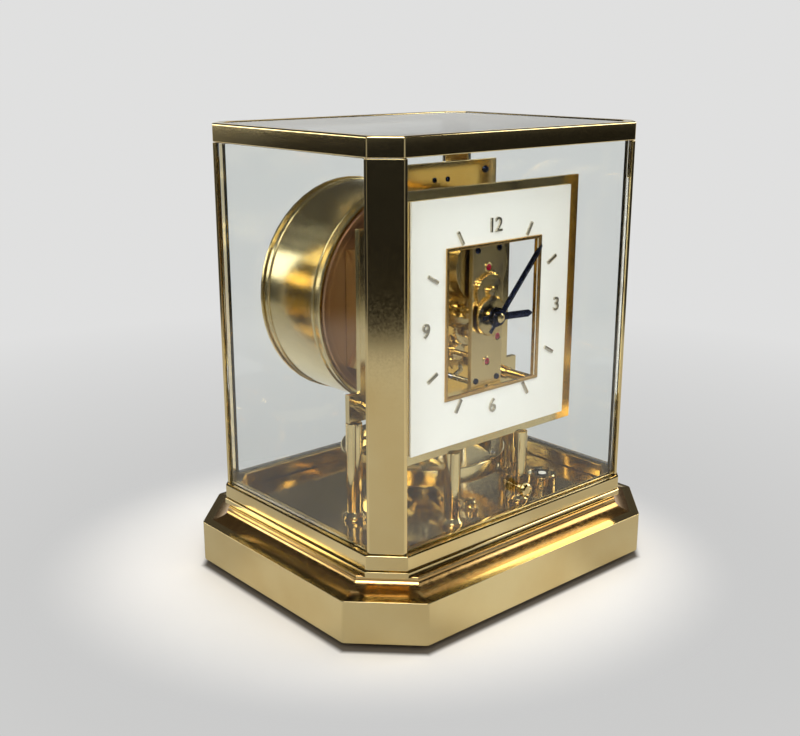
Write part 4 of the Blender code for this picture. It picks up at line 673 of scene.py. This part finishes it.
gilt, gilt_darker, gilt_drum, marker_gilt, steel, blued = (
    metal(name, bright, deep, patch_scale, marks(polish, *shine), bump)
    for name, (bright, deep, patch_scale, shine, bump) in POLISHED.items()
)
gilt_ring = turned_gilt("gilt_turned")
print("polished metals:", list(POLISHED))

# %% other finishes
brushed = marks(grain, 0.20, 0.27, 460)
gilt_plate = metal(
    "gilt_brushed_plate", (0.84, 0.67, 0.35), (0.77, 0.59, 0.28), 30.0, brushed, 0.05
)
spun = turned(0.34, 0.42, 3600.0)
copper = metal("copper_bellows", (0.62, 0.40, 0.27), (0.56, 0.36, 0.24), 30.0, spun, 0.03)
lacquered = marks(polish, 0.30, 0.42, 500)
enamel = metal(
    "dial_lacquer", (0.90, 0.89, 0.85), (0.86, 0.845, 0.80), 14.0, lacquered,
    bump=0.05, metallic=0.0, coat=0.25,
)
cut_stone = marks(polish, 0.05, 0.12, 900)
ruby = metal(
    "jewel_ruby", (0.36, 0.008, 0.03), (0.20, 0.004, 0.015), 300.0, cut_stone,
    bump=0.15, metallic=0.0, coat=0.5,
)
print("finishes with the table's:", len(bpy.data.materials))

# %% [markdown]
# ## Glass
# The panes are clear float glass with a faint green in their edges. The shader keeps a plain
# full transmission, and a thin film of marks varies its roughness. Rays from lamps pass straight
# through by a Transparent shader, because refracted lamp light is slow to find and the movement
# inside would stand in the dark.

# %% glass
GLASS_INDEX = 1.45
GLASS_BRIGHT = (0.975, 0.99, 0.98, 1)
GLASS_DEEP = (0.95, 0.975, 0.96, 1)
LIGHT_PASSED = (0.95, 0.97, 0.96, 1)

glass, web, shader = new_finish("clear_glass")
tone = add_group(web, ageing, {"Bright": GLASS_BRIGHT, "Deep": GLASS_DEEP, "Patch scale": 9.0})
film = add_group(web, *marks(polish, 0.0, 0.035, 40))
clear = add_node(web, "BsdfTransparent", {"Color": LIGHT_PASSED})
look = {
    "Base Color": tone.outputs["Tone"],
    "Roughness": film.outputs["Roughness"],
    "Transmission Weight": 1.0,
    "IOR": GLASS_INDEX,
}
feed(web, shader, look)
to_lamps = add_node(web, "LightPath").outputs["Is Shadow Ray"]
surface = blended(web, to_lamps, shader.outputs["BSDF"], clear.outputs["BSDF"])
feed(web, web.nodes["Material Output"], {"Surface": surface})
print("glass is ready")

# %% [markdown]
# ## Finishes on the solids
# Each solid gets its finish by name. A sharp edge on a solid never catches the light, while a
# real edge is broken by a file, so a weld closes the solid's loose triangles, a narrow bevel
# rounds its edges, and weighted normals keep its flat faces flat to look at. All three stay as
# modifiers, and the solid's own mesh is left as it is.

# %% finishes on the solids
FINISHES = {
    gilt: (
        "base_plinth floor_plate lower_frame top_frame post_front_left post_front_right "
        "post_rear_left post_rear_right front_plate back_plate front_knob level_cup "
        "balance_ring front_leg_left front_leg_right rear_leg_left rear_leg_right "
        "plate_pillar_left plate_pillar_right plate_pillar_top lock_boss lock_lifter"
    ),
    gilt_plate: (
        "train_bridge suspension_bracket drum_bracket_left "
        "drum_bracket_right pulley_bracket lock_lever"
    ),
    gilt_ring: "drum_cover centre_wheel hour_wheel",
    copper: "bellows_drum bellows_capsule pressure_plate",
    steel: (
        "rear_foot levelling_foot_left levelling_foot_right cannon_pinion pallet_fork "
        "balance_staff torsion_wire return_spring winding_chain click"
    ),
    blued: "minute_hand hour_hand",
    enamel: "dial",
    glass: "top_glass left_glass right_glass rear_glass front_glass level_vial",
}
RING_PLANES = {
    (1, 0, 1): "barrel third_wheel escape_wheel minute_wheel",
    (0, 1, 1): "winding_pulley",
    (1, 1, 0): "levelling_wheel_left levelling_wheel_right",
}
for plane, names in RING_PLANES.items():
    for name in names.split():
        axis_spot = nodes[name].matrix_world.inverted() @ middle_of(name)
        FINISHES[turned_gilt(f"gilt_turned_{name}", tuple(axis_spot), plane)] = name

for finish, names in FINISHES.items():
    for name in names.split():
        node = nodes[name]
        for i in range(len(node.material_slots)):
            node.material_slots[i].material = finish
        if not node.material_slots:
            node.data.materials.append(finish)
bare = sorted(set(nodes) - {n for names in FINISHES.values() for n in names.split()})
print("finished solids:", len(nodes) - len(bare), "left bare:", bare)

# %% broken edges
EDGE_BREAKS = {
    "top_glass": 0.0003, "front_glass": 0.0002, "dial": 0.0002,
    "top_frame": 0.0005, "lower_frame": 0.0005,
}
COMMON_EDGE_BREAK = 0.00018
EDGE_ANGLE = radians(40)
WELD_DISTANCE = 0.000002
LEFT_SHARP = "torsion_wire return_spring winding_chain bellows_capsule".split()

for name, node in nodes.items():
    if name not in LEFT_SHARP:
        weld = node.modifiers.new("weld", "WELD")
        weld.merge_threshold = WELD_DISTANCE
        bevel = node.modifiers.new("broken_edges", "BEVEL")
        bevel.width = EDGE_BREAKS.get(name, COMMON_EDGE_BREAK)
        bevel.segments = 2
        bevel.limit_method = "ANGLE"
        bevel.angle_limit = EDGE_ANGLE
        bevel.harden_normals = True
        weigh_faces(node)
print("edges broken on", len(nodes) - len(LEFT_SHARP), "solids")

# %% [markdown]
# ## Plinth
# The plinth is a heavy gilt casting: cut corners, a plain tall face, and a hollow moulding that
# rises to the floor. A moulding is a section carried round an outline, so it is made that way: a
# plate with bevelled corners is inset and lifted again and again. Insets keep every step
# parallel, also across the corners.


# %% lifts, insets and rounded edges
def lift(rise):
    """Extrudes the selected face straight up."""
    bpy.ops.mesh.extrude_region_move(TRANSFORM_OT_translate={"value": (0, 0, rise)})


def band(inset, rise):
    """One band: the selected face shrinks by inset and moves out along its normal by rise."""
    bpy.ops.mesh.inset(thickness=inset, depth=rise, use_even_offset=True)


def hollow(width, height, bands):
    """(inset, rise) of each band of a quarter hollow, steep at its top."""
    turns = [pi / 2 * i / bands for i in range(bands + 1)]
    points = [(width * sin(t), height * (1 - cos(t))) for t in turns]
    return [(b[0] - a[0], b[1] - a[1]) for a, b in zip(points, points[1:])]


def soften(piece, offset, test, segments=3):
    """Bevels the edges whose middle passes the test."""
    select_where(piece, "edges", test)
    bpy.ops.mesh.bevel(offset=offset, segments=segments, affect="EDGES", clamp_overlap=True)


print("first band of a hollow:", [round(v, 5) for v in hollow(0.01, 0.006, 6)[0]])

# %% plinth
PLINTH_EDGE = 0.0011
PLINTH_FACE_TOP = 0.0250
PLINTH_SKIN = 0.0048
PLINTH_ROOF = 0.0009
PLINTH_SHOULDER = 0.0062
ROOF_SLOPE_WIDTH = 0.0135
ROOF_SLOPE_RISE = 0.0048
COVE_BEAD = 0.0014
COVE_BANDS = 8
OUTLINE_SHARE = 0.98
SAME_HEIGHT = 0.00005

_, floor_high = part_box("floor_plate")
cove_rise = plinth_high.z - PLINTH_FACE_TOP - COVE_BEAD
cove_inset = plinth_high.x - floor_high.x - COVE_BEAD
start_fresh()
bpy.ops.mesh.primitive_plane_add(size=1, location=(0, 0, plinth_low.z))
plinth = sized(2 * plinth_high.x, 2 * plinth_high.y, 1)
bpy.ops.object.mode_set(mode="EDIT")
take_all()
bpy.ops.mesh.bevel(offset=PLINTH_CUT, affect="VERTICES", offset_type="OFFSET")
open_faces()
lift(PLINTH_FACE_TOP - plinth_low.z)
for inset, rise in hollow(cove_inset, cove_rise, COVE_BANDS):
    band(inset, rise)
lift(COVE_BEAD)
select_where(plinth, "polygons", lambda c, n: c.z < plinth_low.z + SAME_HEIGHT)
band(PLINTH_SKIN, 0)
lift(plinth_high.z - PLINTH_ROOF - plinth_low.z - PLINTH_SHOULDER)
band(ROOF_SLOPE_WIDTH, -ROOF_SLOPE_RISE)


def on_corner(c, d):
    """True for an upright edge of the plinth's outline."""
    outward = max(abs(c.x) / plinth_high.x, abs(c.y) / plinth_high.y)
    return abs(d.z) > 0.9 and outward > OUTLINE_SHARE


def level_at(height):
    """A test for level edges at a height."""
    return lambda c, d: abs(c.z - height) < SAME_HEIGHT and abs(d.z) < 0.5


soften(plinth, PLINTH_EDGE, on_corner)
soften(plinth, PLINTH_EDGE, level_at(plinth_low.z))
soften(plinth, PLINTH_EDGE / 2, level_at(PLINTH_FACE_TOP))
bead_foot = plinth_high.z - COVE_BEAD - SAME_HEIGHT
soften(plinth, COVE_BEAD * 0.45, lambda c, d: c.z > bead_foot and abs(d.z) < 0.5)
finish_piece(plinth, "plinth_casting")
print("plinth", rounded(plinth.dimensions))

# %% the plinth's feet holes and its two finishes
FOOT_HOLE_RADIUS = 0.0036
FOOT_HOLE_DEPTH = 0.02


def on_mitre(c, d):
    """True for an edge that runs from corner to corner of the moulding, at half its turn."""
    least, most = sorted((abs(d.x), abs(d.y)))
    return c.z > PLINTH_FACE_TOP and most > 0 and 0.25 < least / most < 0.6


select_where(plinth, "edges", on_mitre)
bpy.ops.mesh.mark_sharp()
foot = middle_of("levelling_foot_right")
for side in (-1, 1):
    start_fresh()
    bpy.ops.mesh.primitive_cylinder_add(
        vertices=24,
        radius=FOOT_HOLE_RADIUS,
        depth=FOOT_HOLE_DEPTH,
        location=(side * foot.x, foot.y, plinth_high.z),
    )
    cut_away(plinth, bpy.context.object, "foot_hole")
plinth.data.materials.append(gilt)
plinth.data.materials.append(gilt_darker)
# the hollow moulding's sloped faces take the darker, redder gilt
select_where(
    plinth, "polygons", lambda c, n: c.z > PLINTH_FACE_TOP + SAME_HEIGHT and 0.1 < n.z < 0.99
)
plinth.active_material_index = 1
bpy.ops.object.material_slot_assign()
even_normals(plinth)
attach(plinth, "case")
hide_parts("base_plinth")
print("plinth faces:", len(plinth.data.polygons))

# %% [markdown]
# ## Window frame
# The dial's window has a thin gilt frame that hides the cut edge of the lacquered plate. Four
# mitred bars would do, but one plane that is inset and loses its middle keeps the mitres closed.
# The plane lies flat while it is worked, and is turned upright at the end.

# %% window frame
WINDOW_HALF_X = 0.03125
WINDOW_HALF_Z = 0.0356
BEZEL_WIDTH = 0.0017
BEZEL_PROUD = 0.0009
BEZEL_LAP = BEZEL_WIDTH * 0.75

start_fresh()
bpy.ops.mesh.primitive_plane_add(size=1)
bezel = sized(2 * (WINDOW_HALF_X + BEZEL_LAP), 2 * (WINDOW_HALF_Z + BEZEL_LAP), 1)
open_faces()
bpy.ops.mesh.inset(thickness=BEZEL_WIDTH, depth=0)
bpy.ops.mesh.delete(type="FACE")
take_all()
lift(-BEZEL_PROUD)
soften(bezel, BEZEL_PROUD * 0.4, lambda c, d: c.z < -BEZEL_PROUD + SAME_HEIGHT)
finish_piece(bezel, "window_frame", AXIS_TURNS["Y"], (0, dial_low.y, dial_z))
# the window frame takes the darker, redder gilt
fit_to(bezel, gilt_darker, "case", "gilt")
print("window frame", rounded(bezel.dimensions))

# %% [markdown]
# ## Hour marks
# The dial carries applied marks: four numbers and eight slim bars with two facets, on a circle
# that clears the window's corners. The numbers start as text, which is made a mesh before it is
# placed. One bar is modelled and copied, since the eight are the same casting.

# %% bars
MARK_CIRCLE = 0.0470
MARK_LENGTH = 0.0072
MARK_WIDTH = 0.0017
MARK_PROUD = 0.0008
NUMBER_HOURS = (3, 6, 9, 12)

start_fresh()
bpy.ops.mesh.primitive_cube_add(size=1, location=(0, 0, 0))
bar = sized(MARK_WIDTH, MARK_PROUD, MARK_LENGTH)
select_where(bar, "polygons", lambda c, n: n.y < -0.5)
bpy.ops.mesh.inset(thickness=MARK_WIDTH * 0.42, depth=MARK_PROUD * 0.3)
soften(bar, MARK_WIDTH * 0.05, lambda c, d: abs(d.y) > 0.9, segments=2)
bar_spot = (0, dial_low.y - MARK_PROUD / 2, dial_z + MARK_CIRCLE)
finish_piece(bar, "hour_bar_master", centre=bar_spot, smooth=False)
dial_axis = Matrix.Translation(Vector((0, dial_low.y, dial_z)))
for hour in range(1, 13):
    if hour not in NUMBER_HOURS:
        turn = Matrix.Rotation(radians(30 * hour), 4, "Y")
        mark = twin_of(bar, f"hour_bar_{hour}", dial_axis @ turn @ dial_axis.inverted())
        fit_to(mark, marker_gilt, "case", "gilt")
bpy.data.objects.remove(bar)
print("bars made:", 12 - len(NUMBER_HOURS))

# %% numbers
NUMBER_CIRCLE = 0.0450
NUMBER_HEIGHT = 0.0098
NUMBER_SUNK = MARK_PROUD * 0.62

for hour in NUMBER_HOURS:
    start_fresh()
    bpy.ops.object.text_add()
    text = bpy.context.object.data
    text.body = str(hour)
    text.align_x = "CENTER"
    text.align_y = "CENTER"
    text.size = NUMBER_HEIGHT
    text.extrude = MARK_PROUD / 2
    text.bevel_depth = MARK_PROUD * 0.12
    text.resolution_u = 6
    bpy.ops.object.convert(target="MESH")
    number = bpy.context.object
    bpy.ops.object.mode_set(mode="EDIT")
    take_all()
    bpy.ops.mesh.remove_doubles(threshold=WELD_DISTANCE)
    bpy.ops.object.mode_set(mode="OBJECT")
    middle = sum((Vector(c) for c in number.bound_box), Vector()) / 8
    number.data.transform(Matrix.Translation((-middle.x, -middle.y, 0)))
    turn = radians(30 * hour)
    x, z = NUMBER_CIRCLE * sin(turn), NUMBER_CIRCLE * cos(turn)
    spot = (x, dial_low.y - NUMBER_SUNK, dial_z + z)
    finish_piece(number, f"hour_number_{hour}", (pi / 2, 0, 0), spot, smooth=False)
    fit_to(number, marker_gilt, "case", "gilt")
    print("number", hour, rounded(number.dimensions))

# %% [markdown]
# ## Hands
# The blued hands have a ridge along their middle that splits the light. The solids give their
# outline and their hubs, and a slim four-sided roof is laid on each. It starts as a circle of
# four corners, because that is already the outline of a pointed leaf, and its front face is
# inset almost to the middle and pushed forwards.

# %% ridges on the hands
RIDGES = {"hour": (0.0200, 0.0027, 93.5), "minute": (0.0370, 0.0024, 42.0)}
RIDGE_PROUD = 0.00035
RIDGE_EDGE = 0.00012
RIDGE_SUNK = 0.0002
HUB_REACH = 0.0042

for word, (length, width, bearing) in RIDGES.items():
    start_fresh()
    bpy.ops.mesh.primitive_circle_add(vertices=4, radius=0.5, fill_type="NGON")
    ridge = sized(width, length, 1)
    open_faces()
    lift(RIDGE_EDGE)
    band(width * 0.42, RIDGE_PROUD)
    bpy.ops.object.mode_set(mode="OBJECT")
    turn = radians(bearing)
    ridge.data.transform(Matrix.Rotation(pi / 2, 4, "X"))
    ridge.data.transform(Matrix.Rotation(turn, 4, "Y"))
    reach = length / 2 + HUB_REACH
    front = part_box(f"{word}_hand")[0].y + RIDGE_SUNK
    spot = (reach * sin(turn), front, dial_z + reach * cos(turn))
    finish_piece(ridge, f"{word}_hand_ridge", centre=spot, smooth=False)
    fit_to(ridge, blued, word, "blued_steel")
print("ridges on the hands:", list(RIDGES))

# %% cap nut
CAP_STATIONS = [
    (0.0021, 0), (0.0023, -0.0003), (0.0023, -0.0008), (0.0015, -0.0012), (0.0006, -0.0014)
]
minute_low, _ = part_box("minute_hand")
cap = lathe("hand_cap_nut", CAP_STATIONS, "Y", (0, minute_low.y, dial_z), 32)
fit_to(cap, gilt, "minute", "gilt")
print("cap nut", rounded(cap.dimensions))

# %% [markdown]
# ## Bellows drum
# The drum is a drawn cup with a rolled front edge, two raised beads around its side, and a
# copper band on its face. The solid has the cup itself. The side with its roll and beads is one
# turned sleeve on it, because a sleeve of many sides mirrors the room without facets.

# %% drum sleeve and face band
SLEEVE = 0.0002
ROLL = 0.0011
BEAD = 0.0007
FRONT_BEAD_PLACE = 0.0062
REAR_BEAD_PLACE = 0.0040
DRUM_SIDES = 160
FACE_BAND = [
    (0.0524, 0), (0.0526, -0.0006), (0.0534, -0.0009),
    (0.0556, -0.0009), (0.0562, -0.0006), (0.0564, 0),
]


def half_round(radius, middle, half, proud, steps=6):
    """Stations (radius, height) over a half-round bead."""
    turns = [pi * i / steps for i in range(steps + 1)]
    return [(radius + proud * sin(t), middle - half * cos(t)) for t in turns]


drum_low, drum_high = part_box("bellows_drum")
drum_front = (0, drum_low.y, dial_z)
drum_length = drum_high.y - drum_low.y
end_radius = drum_high.x - ROLL
sleeve_radius = drum_high.x + SLEEVE
stations = [(end_radius, 0.0)]
stations += half_round(sleeve_radius, ROLL, ROLL, ROLL * 0.7)
stations += half_round(sleeve_radius, FRONT_BEAD_PLACE, BEAD, BEAD)
stations += half_round(sleeve_radius, drum_length - REAR_BEAD_PLACE, BEAD, BEAD)
stations += [(sleeve_radius, drum_length), (end_radius, drum_length)]
sleeve = lathe("drum_sleeve", stations, "Y", drum_front, DRUM_SIDES, ring=True)
fit_to(sleeve, gilt_drum, "case", "gilt")
face_band = lathe("drum_face_band", FACE_BAND, "Y", drum_front, 96, ring=True)
fit_to(face_band, copper, "case", "copper")
print("sleeve faces:", len(sleeve.data.polygons), rounded(sleeve.dimensions))

# %% [markdown]
# ## Rear cover
# Seen from behind, the drum's cover is the largest face of the movement. It has raised rings
# that stiffen the sheet, a middle boss, and six screws near its rim. The rings are one lathe
# profile, and the screws are one screw copied round the axis.

# %% rear cover
COVER_RINGS = [
    (0.0520, 0), (0.0512, 0.0007), (0.0470, 0.0007), (0.0462, 0.0001), (0.0330, 0.0001),
    (0.0322, 0.0009), (0.0290, 0.0009), (0.0282, 0.0002), (0.0140, 0.0002), (0.0132, 0.0014),
    (0.0060, 0.0016), (0.0052, 0.0010), (0.0010, 0.0010),
]
_, cover_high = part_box("drum_cover")
cover = lathe("drum_cover_rings", COVER_RINGS, "Y", (0, cover_high.y, dial_z), 96)
fit_to(cover, gilt_ring, "case", "gilt")
print("cover rings stand", max(height for _, height in COVER_RINGS), "m proud")

# %% [markdown]
# ## Screws
# A screw's head is a low turned button with a slot. The slot is cut by a Boolean, since an inset
# can't cross a round face. One head is modelled facing up, and each screw is a copy of it that
# is turned to face outwards and moved into its place.

# %% one screw head
SCREW_RADIUS = 0.0019
SCREW_PROUD = 0.0009
SCREW_STATIONS = [
    (SCREW_RADIUS, 0.0), (SCREW_RADIUS, SCREW_PROUD * 0.55),
    (SCREW_RADIUS * 0.82, SCREW_PROUD * 0.9), (SCREW_RADIUS * 0.4, SCREW_PROUD),
]

screw = lathe("screw_master", SCREW_STATIONS, sides=24)
start_fresh()
bpy.ops.mesh.primitive_cube_add(size=1, location=(0, 0, SCREW_PROUD))
slot_tool = sized(SCREW_RADIUS * 2.4, SCREW_RADIUS * 0.26, SCREW_PROUD * 0.9)
cut_away(screw, slot_tool, "slot")
print("screw faces:", len(screw.data.polygons))

# %% screws in their places
FRONT, BACK, UP = (0, -1, 0), (0, 1, 0), (0, 0, 1)
COVER_SCREW_CIRCLE = 0.0550
HEAD_SCREW_X = 0.031
HEAD_SCREW_DROP = 0.0052
HANGER_SCREW_X = 0.0045
BRACKET_SCREW_X, BRACKET_SCREW_Z = 0.036, 0.022
BRIDGE_SCREW_X, BRIDGE_SCREW_Z = 0.0073, 0.0325
ENDS = ((0, -1), (1, 1))


def set_screw(name, spot, facing, body="case", size=1.0, turn=0, finish=blued):
    """A copy of the screw head at a spot; facing is the direction of its outside."""
    aim = Vector(facing).to_track_quat("Z", "Y").to_matrix().to_4x4()
    twist = Matrix.Rotation(turn, 4, "Z")
    place = Matrix.Translation(Vector(spot)) @ aim @ twist @ Matrix.Scale(size, 4)
    return fit_to(twin_of(screw, name, place), finish, body, "blued_steel")


for i in range(6):
    turn = radians(60 * i + 30)
    x, z = COVER_SCREW_CIRCLE * cos(turn), COVER_SCREW_CIRCLE * sin(turn)
    set_screw(f"cover_screw_{i}", (x, cover_high.y, dial_z + z), BACK, turn=0.4 + i)

plate_low, plate_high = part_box("back_plate")
bridge_low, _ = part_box("train_bridge")
for i, word in enumerate(("left", "right", "top")):
    pillar = middle_of(f"plate_pillar_{word}")
    spot = (pillar.x, plate_high.y, pillar.z)
    set_screw(f"pillar_screw_rear_{i}", spot, BACK, turn=0.9 * i, size=1.15)
head_z = plate_high.z - HEAD_SCREW_DROP
for i, side in ENDS:
    x = side * HEAD_SCREW_X
    set_screw(f"head_screw_{i}", (x, plate_low.y, head_z), FRONT, turn=1.1 * i)
    set_screw(f"head_screw_rear_{i}", (x, plate_high.y, head_z), BACK, turn=1.1 * i + 0.5)
for i, side in ENDS:
    for j, rise in ENDS:
        spot = (side * BRACKET_SCREW_X, plate_low.y, dial_z + rise * BRACKET_SCREW_Z)
        set_screw(f"bracket_screw_{i}_{j}", spot, FRONT, turn=i + j)
hanger_z = middle_of("suspension_bracket").z
for i, side in ENDS:
    spot = (side * HANGER_SCREW_X, plate_low.y, hanger_z)
    set_screw(f"hanger_screw_{i}", spot, FRONT, size=0.7, turn=0.8 + i)
for i, side in ENDS:
    for j, rise in ENDS:
        spot = (side * BRIDGE_SCREW_X, bridge_low.y, dial_z + rise * BRIDGE_SCREW_Z)
        set_screw(f"bridge_screw_{i}_{j}", spot, FRONT, size=0.8, turn=0.5 + 2 * i + j)

# %% [markdown]
# ## Jewels
# Each arbor runs in a ruby that is pressed into a gilt setting. Both are turned: the setting is
# a low ring with a rounded lip, and the stone is a smaller ring in it that stays a little lower.

# %% jewels
SETTING_RADIUS = 0.0024
STONE_RADIUS = 0.0016
STONE_EDGE = STONE_RADIUS * 0.98
STONE_HOLE = 0.00045
JEWEL_PROUD = 0.0004
SETTING_STATIONS = [
    (STONE_RADIUS, 0), (SETTING_RADIUS, 0), (SETTING_RADIUS, JEWEL_PROUD * 0.6),
    (SETTING_RADIUS * 0.9, JEWEL_PROUD), (STONE_RADIUS, JEWEL_PROUD * 0.8),
]
STONE_STATIONS = [
    (STONE_HOLE, 0), (STONE_EDGE, 0), (STONE_EDGE, JEWEL_PROUD * 0.5),
    (STONE_RADIUS * 0.6, JEWEL_PROUD * 0.6), (STONE_HOLE, JEWEL_PROUD * 0.3),
]
JEWEL_PARTS = {
    "setting": (SETTING_STATIONS, 28, gilt, "gilt"),
    "stone": (STONE_STATIONS, 24, ruby, "steel"),
}
JEWEL_FACES = {"front": (bridge_low.y, -1), "rear": (plate_high.y, 1)}
ARBORS = {"barrel": "barrel", "third": "third_wheel", "escape": "escape_wheel"}

for word, name in ARBORS.items():
    arbor = middle_of(name)
    for face, (y, side) in JEWEL_FACES.items():
        for part, (stations, sides, finish, slot) in JEWEL_PARTS.items():
            faced = [(radius, side * height) for radius, height in stations]
            title = f"jewel_{word}_{face}_{part}"
            piece = lathe(title, faced, "Y", (arbor.x, y, arbor.z), sides, ring=True)
            fit_to(piece, finish, "case", slot)
print("jewels on", sorted(ARBORS))

# %% [markdown]
# ## Bellows, spring and chain
# Inside the drum the gas capsule breathes against a spring, and a chain carries its travel to the
# winding pulley. The capsule is a cup with rounded folds, turned in one profile that goes out
# along the folds and back inside them.

# %% capsule
CAPSULE_FOLDS = 4
CAPSULE_MOUTH = 0.0012
CAPSULE_WALL = 0.0008
FOLD_DEPTH = 0.0055
FOLD_POINTS = 8
FOLD_WALL = CAPSULE_WALL * 1.4

capsule_low, capsule_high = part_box("bellows_capsule")
capsule_start = (0, capsule_low.y, dial_z)
crest = capsule_high.x
step = (capsule_high.y - capsule_low.y) / FOLD_POINTS / CAPSULE_FOLDS
outside = [(CAPSULE_MOUTH, 0.0)]
for i in range(CAPSULE_FOLDS * FOLD_POINTS + 1):
    turn = 2 * pi * i / FOLD_POINTS
    outside.append((crest - FOLD_DEPTH * (1 + cos(turn)) / 2, step * i))
inside = [(r - FOLD_WALL, h) for r, h in reversed(outside[2:])]
inside += [(crest - FOLD_DEPTH - FOLD_WALL, CAPSULE_WALL), (CAPSULE_MOUTH, CAPSULE_WALL)]
capsule = lathe("capsule_folds", outside + inside, "Y", capsule_start, 72)
capsule.data.materials.append(copper)
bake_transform(capsule)
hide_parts("bellows_capsule")
print("capsule", rounded(capsule.dimensions))

# %% spring
COIL_TURNS = 3
COIL_STEPS = 28
COIL_WIRE = 0.0011

spring_low, spring_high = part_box("return_spring")
coil_radius = spring_high.x - COIL_WIRE
coil_rise = (spring_high.y - spring_low.y - 2 * COIL_WIRE) / (COIL_TURNS * COIL_STEPS)
start_fresh()
bpy.ops.mesh.primitive_circle_add(vertices=10, radius=COIL_WIRE, fill_type="NGON")
coil = bpy.context.object
bpy.ops.object.mode_set(mode="EDIT")
take_all()
bpy.ops.transform.translate(value=(coil_radius, 0, 0))
for i in range(COIL_TURNS * COIL_STEPS):
    bpy.ops.mesh.extrude_region_move(TRANSFORM_OT_translate={"value": (0, coil_rise, 0)})
    bpy.ops.transform.rotate(
        value=2 * pi / COIL_STEPS, orient_axis="Y", center_override=(0, 0, 0)
    )
finish_piece(coil, "spring_coil", centre=(0, spring_low.y + COIL_WIRE, dial_z))
coil.data.materials.append(steel)
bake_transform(coil)
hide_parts("return_spring")
print("spring", rounded(coil.dimensions))

# %% chain
LINK_RADIUS = 0.00082
LINK_WIRE = 0.00022
LINK_LENGTH_SHARE = 1.7
LINK_PITCH = 0.0023
FIRST_LINK = 0.62

chain_low, chain_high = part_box("winding_chain")
chain_spot = middle_of("winding_chain")
links = int((chain_high.y - chain_low.y) / LINK_PITCH)
start_fresh()
bpy.ops.mesh.primitive_torus_add(
    major_radius=LINK_RADIUS - LINK_WIRE,
    minor_radius=LINK_WIRE,
    major_segments=16,
    minor_segments=6,
)
link = sized(1, LINK_LENGTH_SHARE, 1)
parts = []
for i in range(links):
    spot = (chain_spot.x, chain_low.y + LINK_PITCH * (i + FIRST_LINK), chain_spot.z)
    turn = Matrix.Rotation(pi / 2 * (i % 2), 4, "Y")
    parts.append(twin_of(link, f"link_{i}", Matrix.Translation(Vector(spot)) @ turn))
bpy.data.objects.remove(link)
only(parts[0])
for part in parts:
    part.select_set(True)
bpy.ops.object.join()
chain = finish_piece(bpy.context.object, "chain_links")
fit_to(chain, steel, "pressure", "steel", "winding_chain")
print("links:", links)

# %% [markdown]
# ## Door knob, level and lever
# Small turned pieces finish the front: the knob that lifts the glass out, the spirit level's
# rim, bubble and circle, the knob of the lever that locks the balance, and eight small screws on
# the balance ring. The level's bubble is a bright cap, because it shows as a spot of light.

# %% knob
KNOB_STATIONS = [
    (0.0018, 0.0), (0.0018, -0.0022), (0.0030, -0.0026), (0.0034, -0.0032), (0.0035, -0.0044),
    (0.0033, -0.0054), (0.0026, -0.0060), (0.0022, -0.0060), (0.0020, -0.0056), (0.0008, -0.0054),
]
_, knob_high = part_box("front_knob")
knob_spot = (0, knob_high.y, middle_of("front_knob").z)
knob = lathe("door_knob", KNOB_STATIONS, "Y", knob_spot, 40)
fit_to(knob, gilt, "front_door", "gilt", "front_knob")
print("knob", rounded(knob.dimensions))

# %% level
RIM_STATIONS = [(0.0071, 0), (0.0085, 0), (0.0085, 0.0004), (0.0080, 0.0008), (0.0074, 0.0008)]
BUBBLE_RADIUS = 0.0021
BUBBLE_STATIONS = [
    (BUBBLE_RADIUS, 0), (BUBBLE_RADIUS * 0.95, 0.0003), (BUBBLE_RADIUS * 0.6, 0.0005)
]
BUBBLE_DRIFT = Vector((0.0006, -0.0004, 0))
CIRCLE_STATIONS = [(0.0030, 0), (0.0034, 0), (0.0034, 0.0002), (0.0030, 0.0002)]

level_spot = middle_of("level_cup")
rim_spot = (level_spot.x, level_spot.y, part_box("level_cup")[1].z)
vial_top = Vector((level_spot.x, level_spot.y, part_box("level_vial")[1].z))
rim = lathe("level_rim", RIM_STATIONS, "Z", rim_spot, 48, ring=True)
fit_to(rim, gilt, "case", "gilt")
bubble = lathe("level_bubble", BUBBLE_STATIONS, "Z", vial_top + BUBBLE_DRIFT, 32)
fit_to(bubble, enamel, "case", "dial_white")
circle = lathe("level_circle", CIRCLE_STATIONS, "Z", vial_top, 40, ring=True)
fit_to(circle, blued, "case", "blued_steel")
print("level at", rounded(level_spot))

# %% lever knob
LEVER_STATIONS = [
    (0.0030, 0), (0.0034, 0.0005), (0.0034, 0.0016), (0.0028, 0.0022), (0.0010, 0.0024)
]
LEVER_PIVOT_Y = 0.0020
GRIP_REACH = 0.0500
GRIP_TURN = radians(15)

grip_y = LEVER_PIVOT_Y - GRIP_REACH * cos(GRIP_TURN)
grip = (-GRIP_REACH * sin(GRIP_TURN), grip_y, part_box("lock_lever")[1].z)
lever_knob = lathe("lever_knob", LEVER_STATIONS, "Z", grip, 36)
fit_to(lever_knob, gilt, "lever", "gilt")
print("lever knob at", rounded(grip))

# %% screws of the balance ring
TRIM_CIRCLE = 0.0395

ring_y = middle_of("balance_ring").y
ring_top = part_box("balance_ring")[1].z
for i in range(8):
    turn = radians(45 * i + 22.5)
    spot = (TRIM_CIRCLE * cos(turn), ring_y + TRIM_CIRCLE * sin(turn), ring_top)
    set_screw(f"balance_screw_{i}", spot, UP, "balance", turn=turn, size=0.8, finish=steel)
bpy.data.objects.remove(screw)
print("balance ring's top at", round(ring_top, 4))
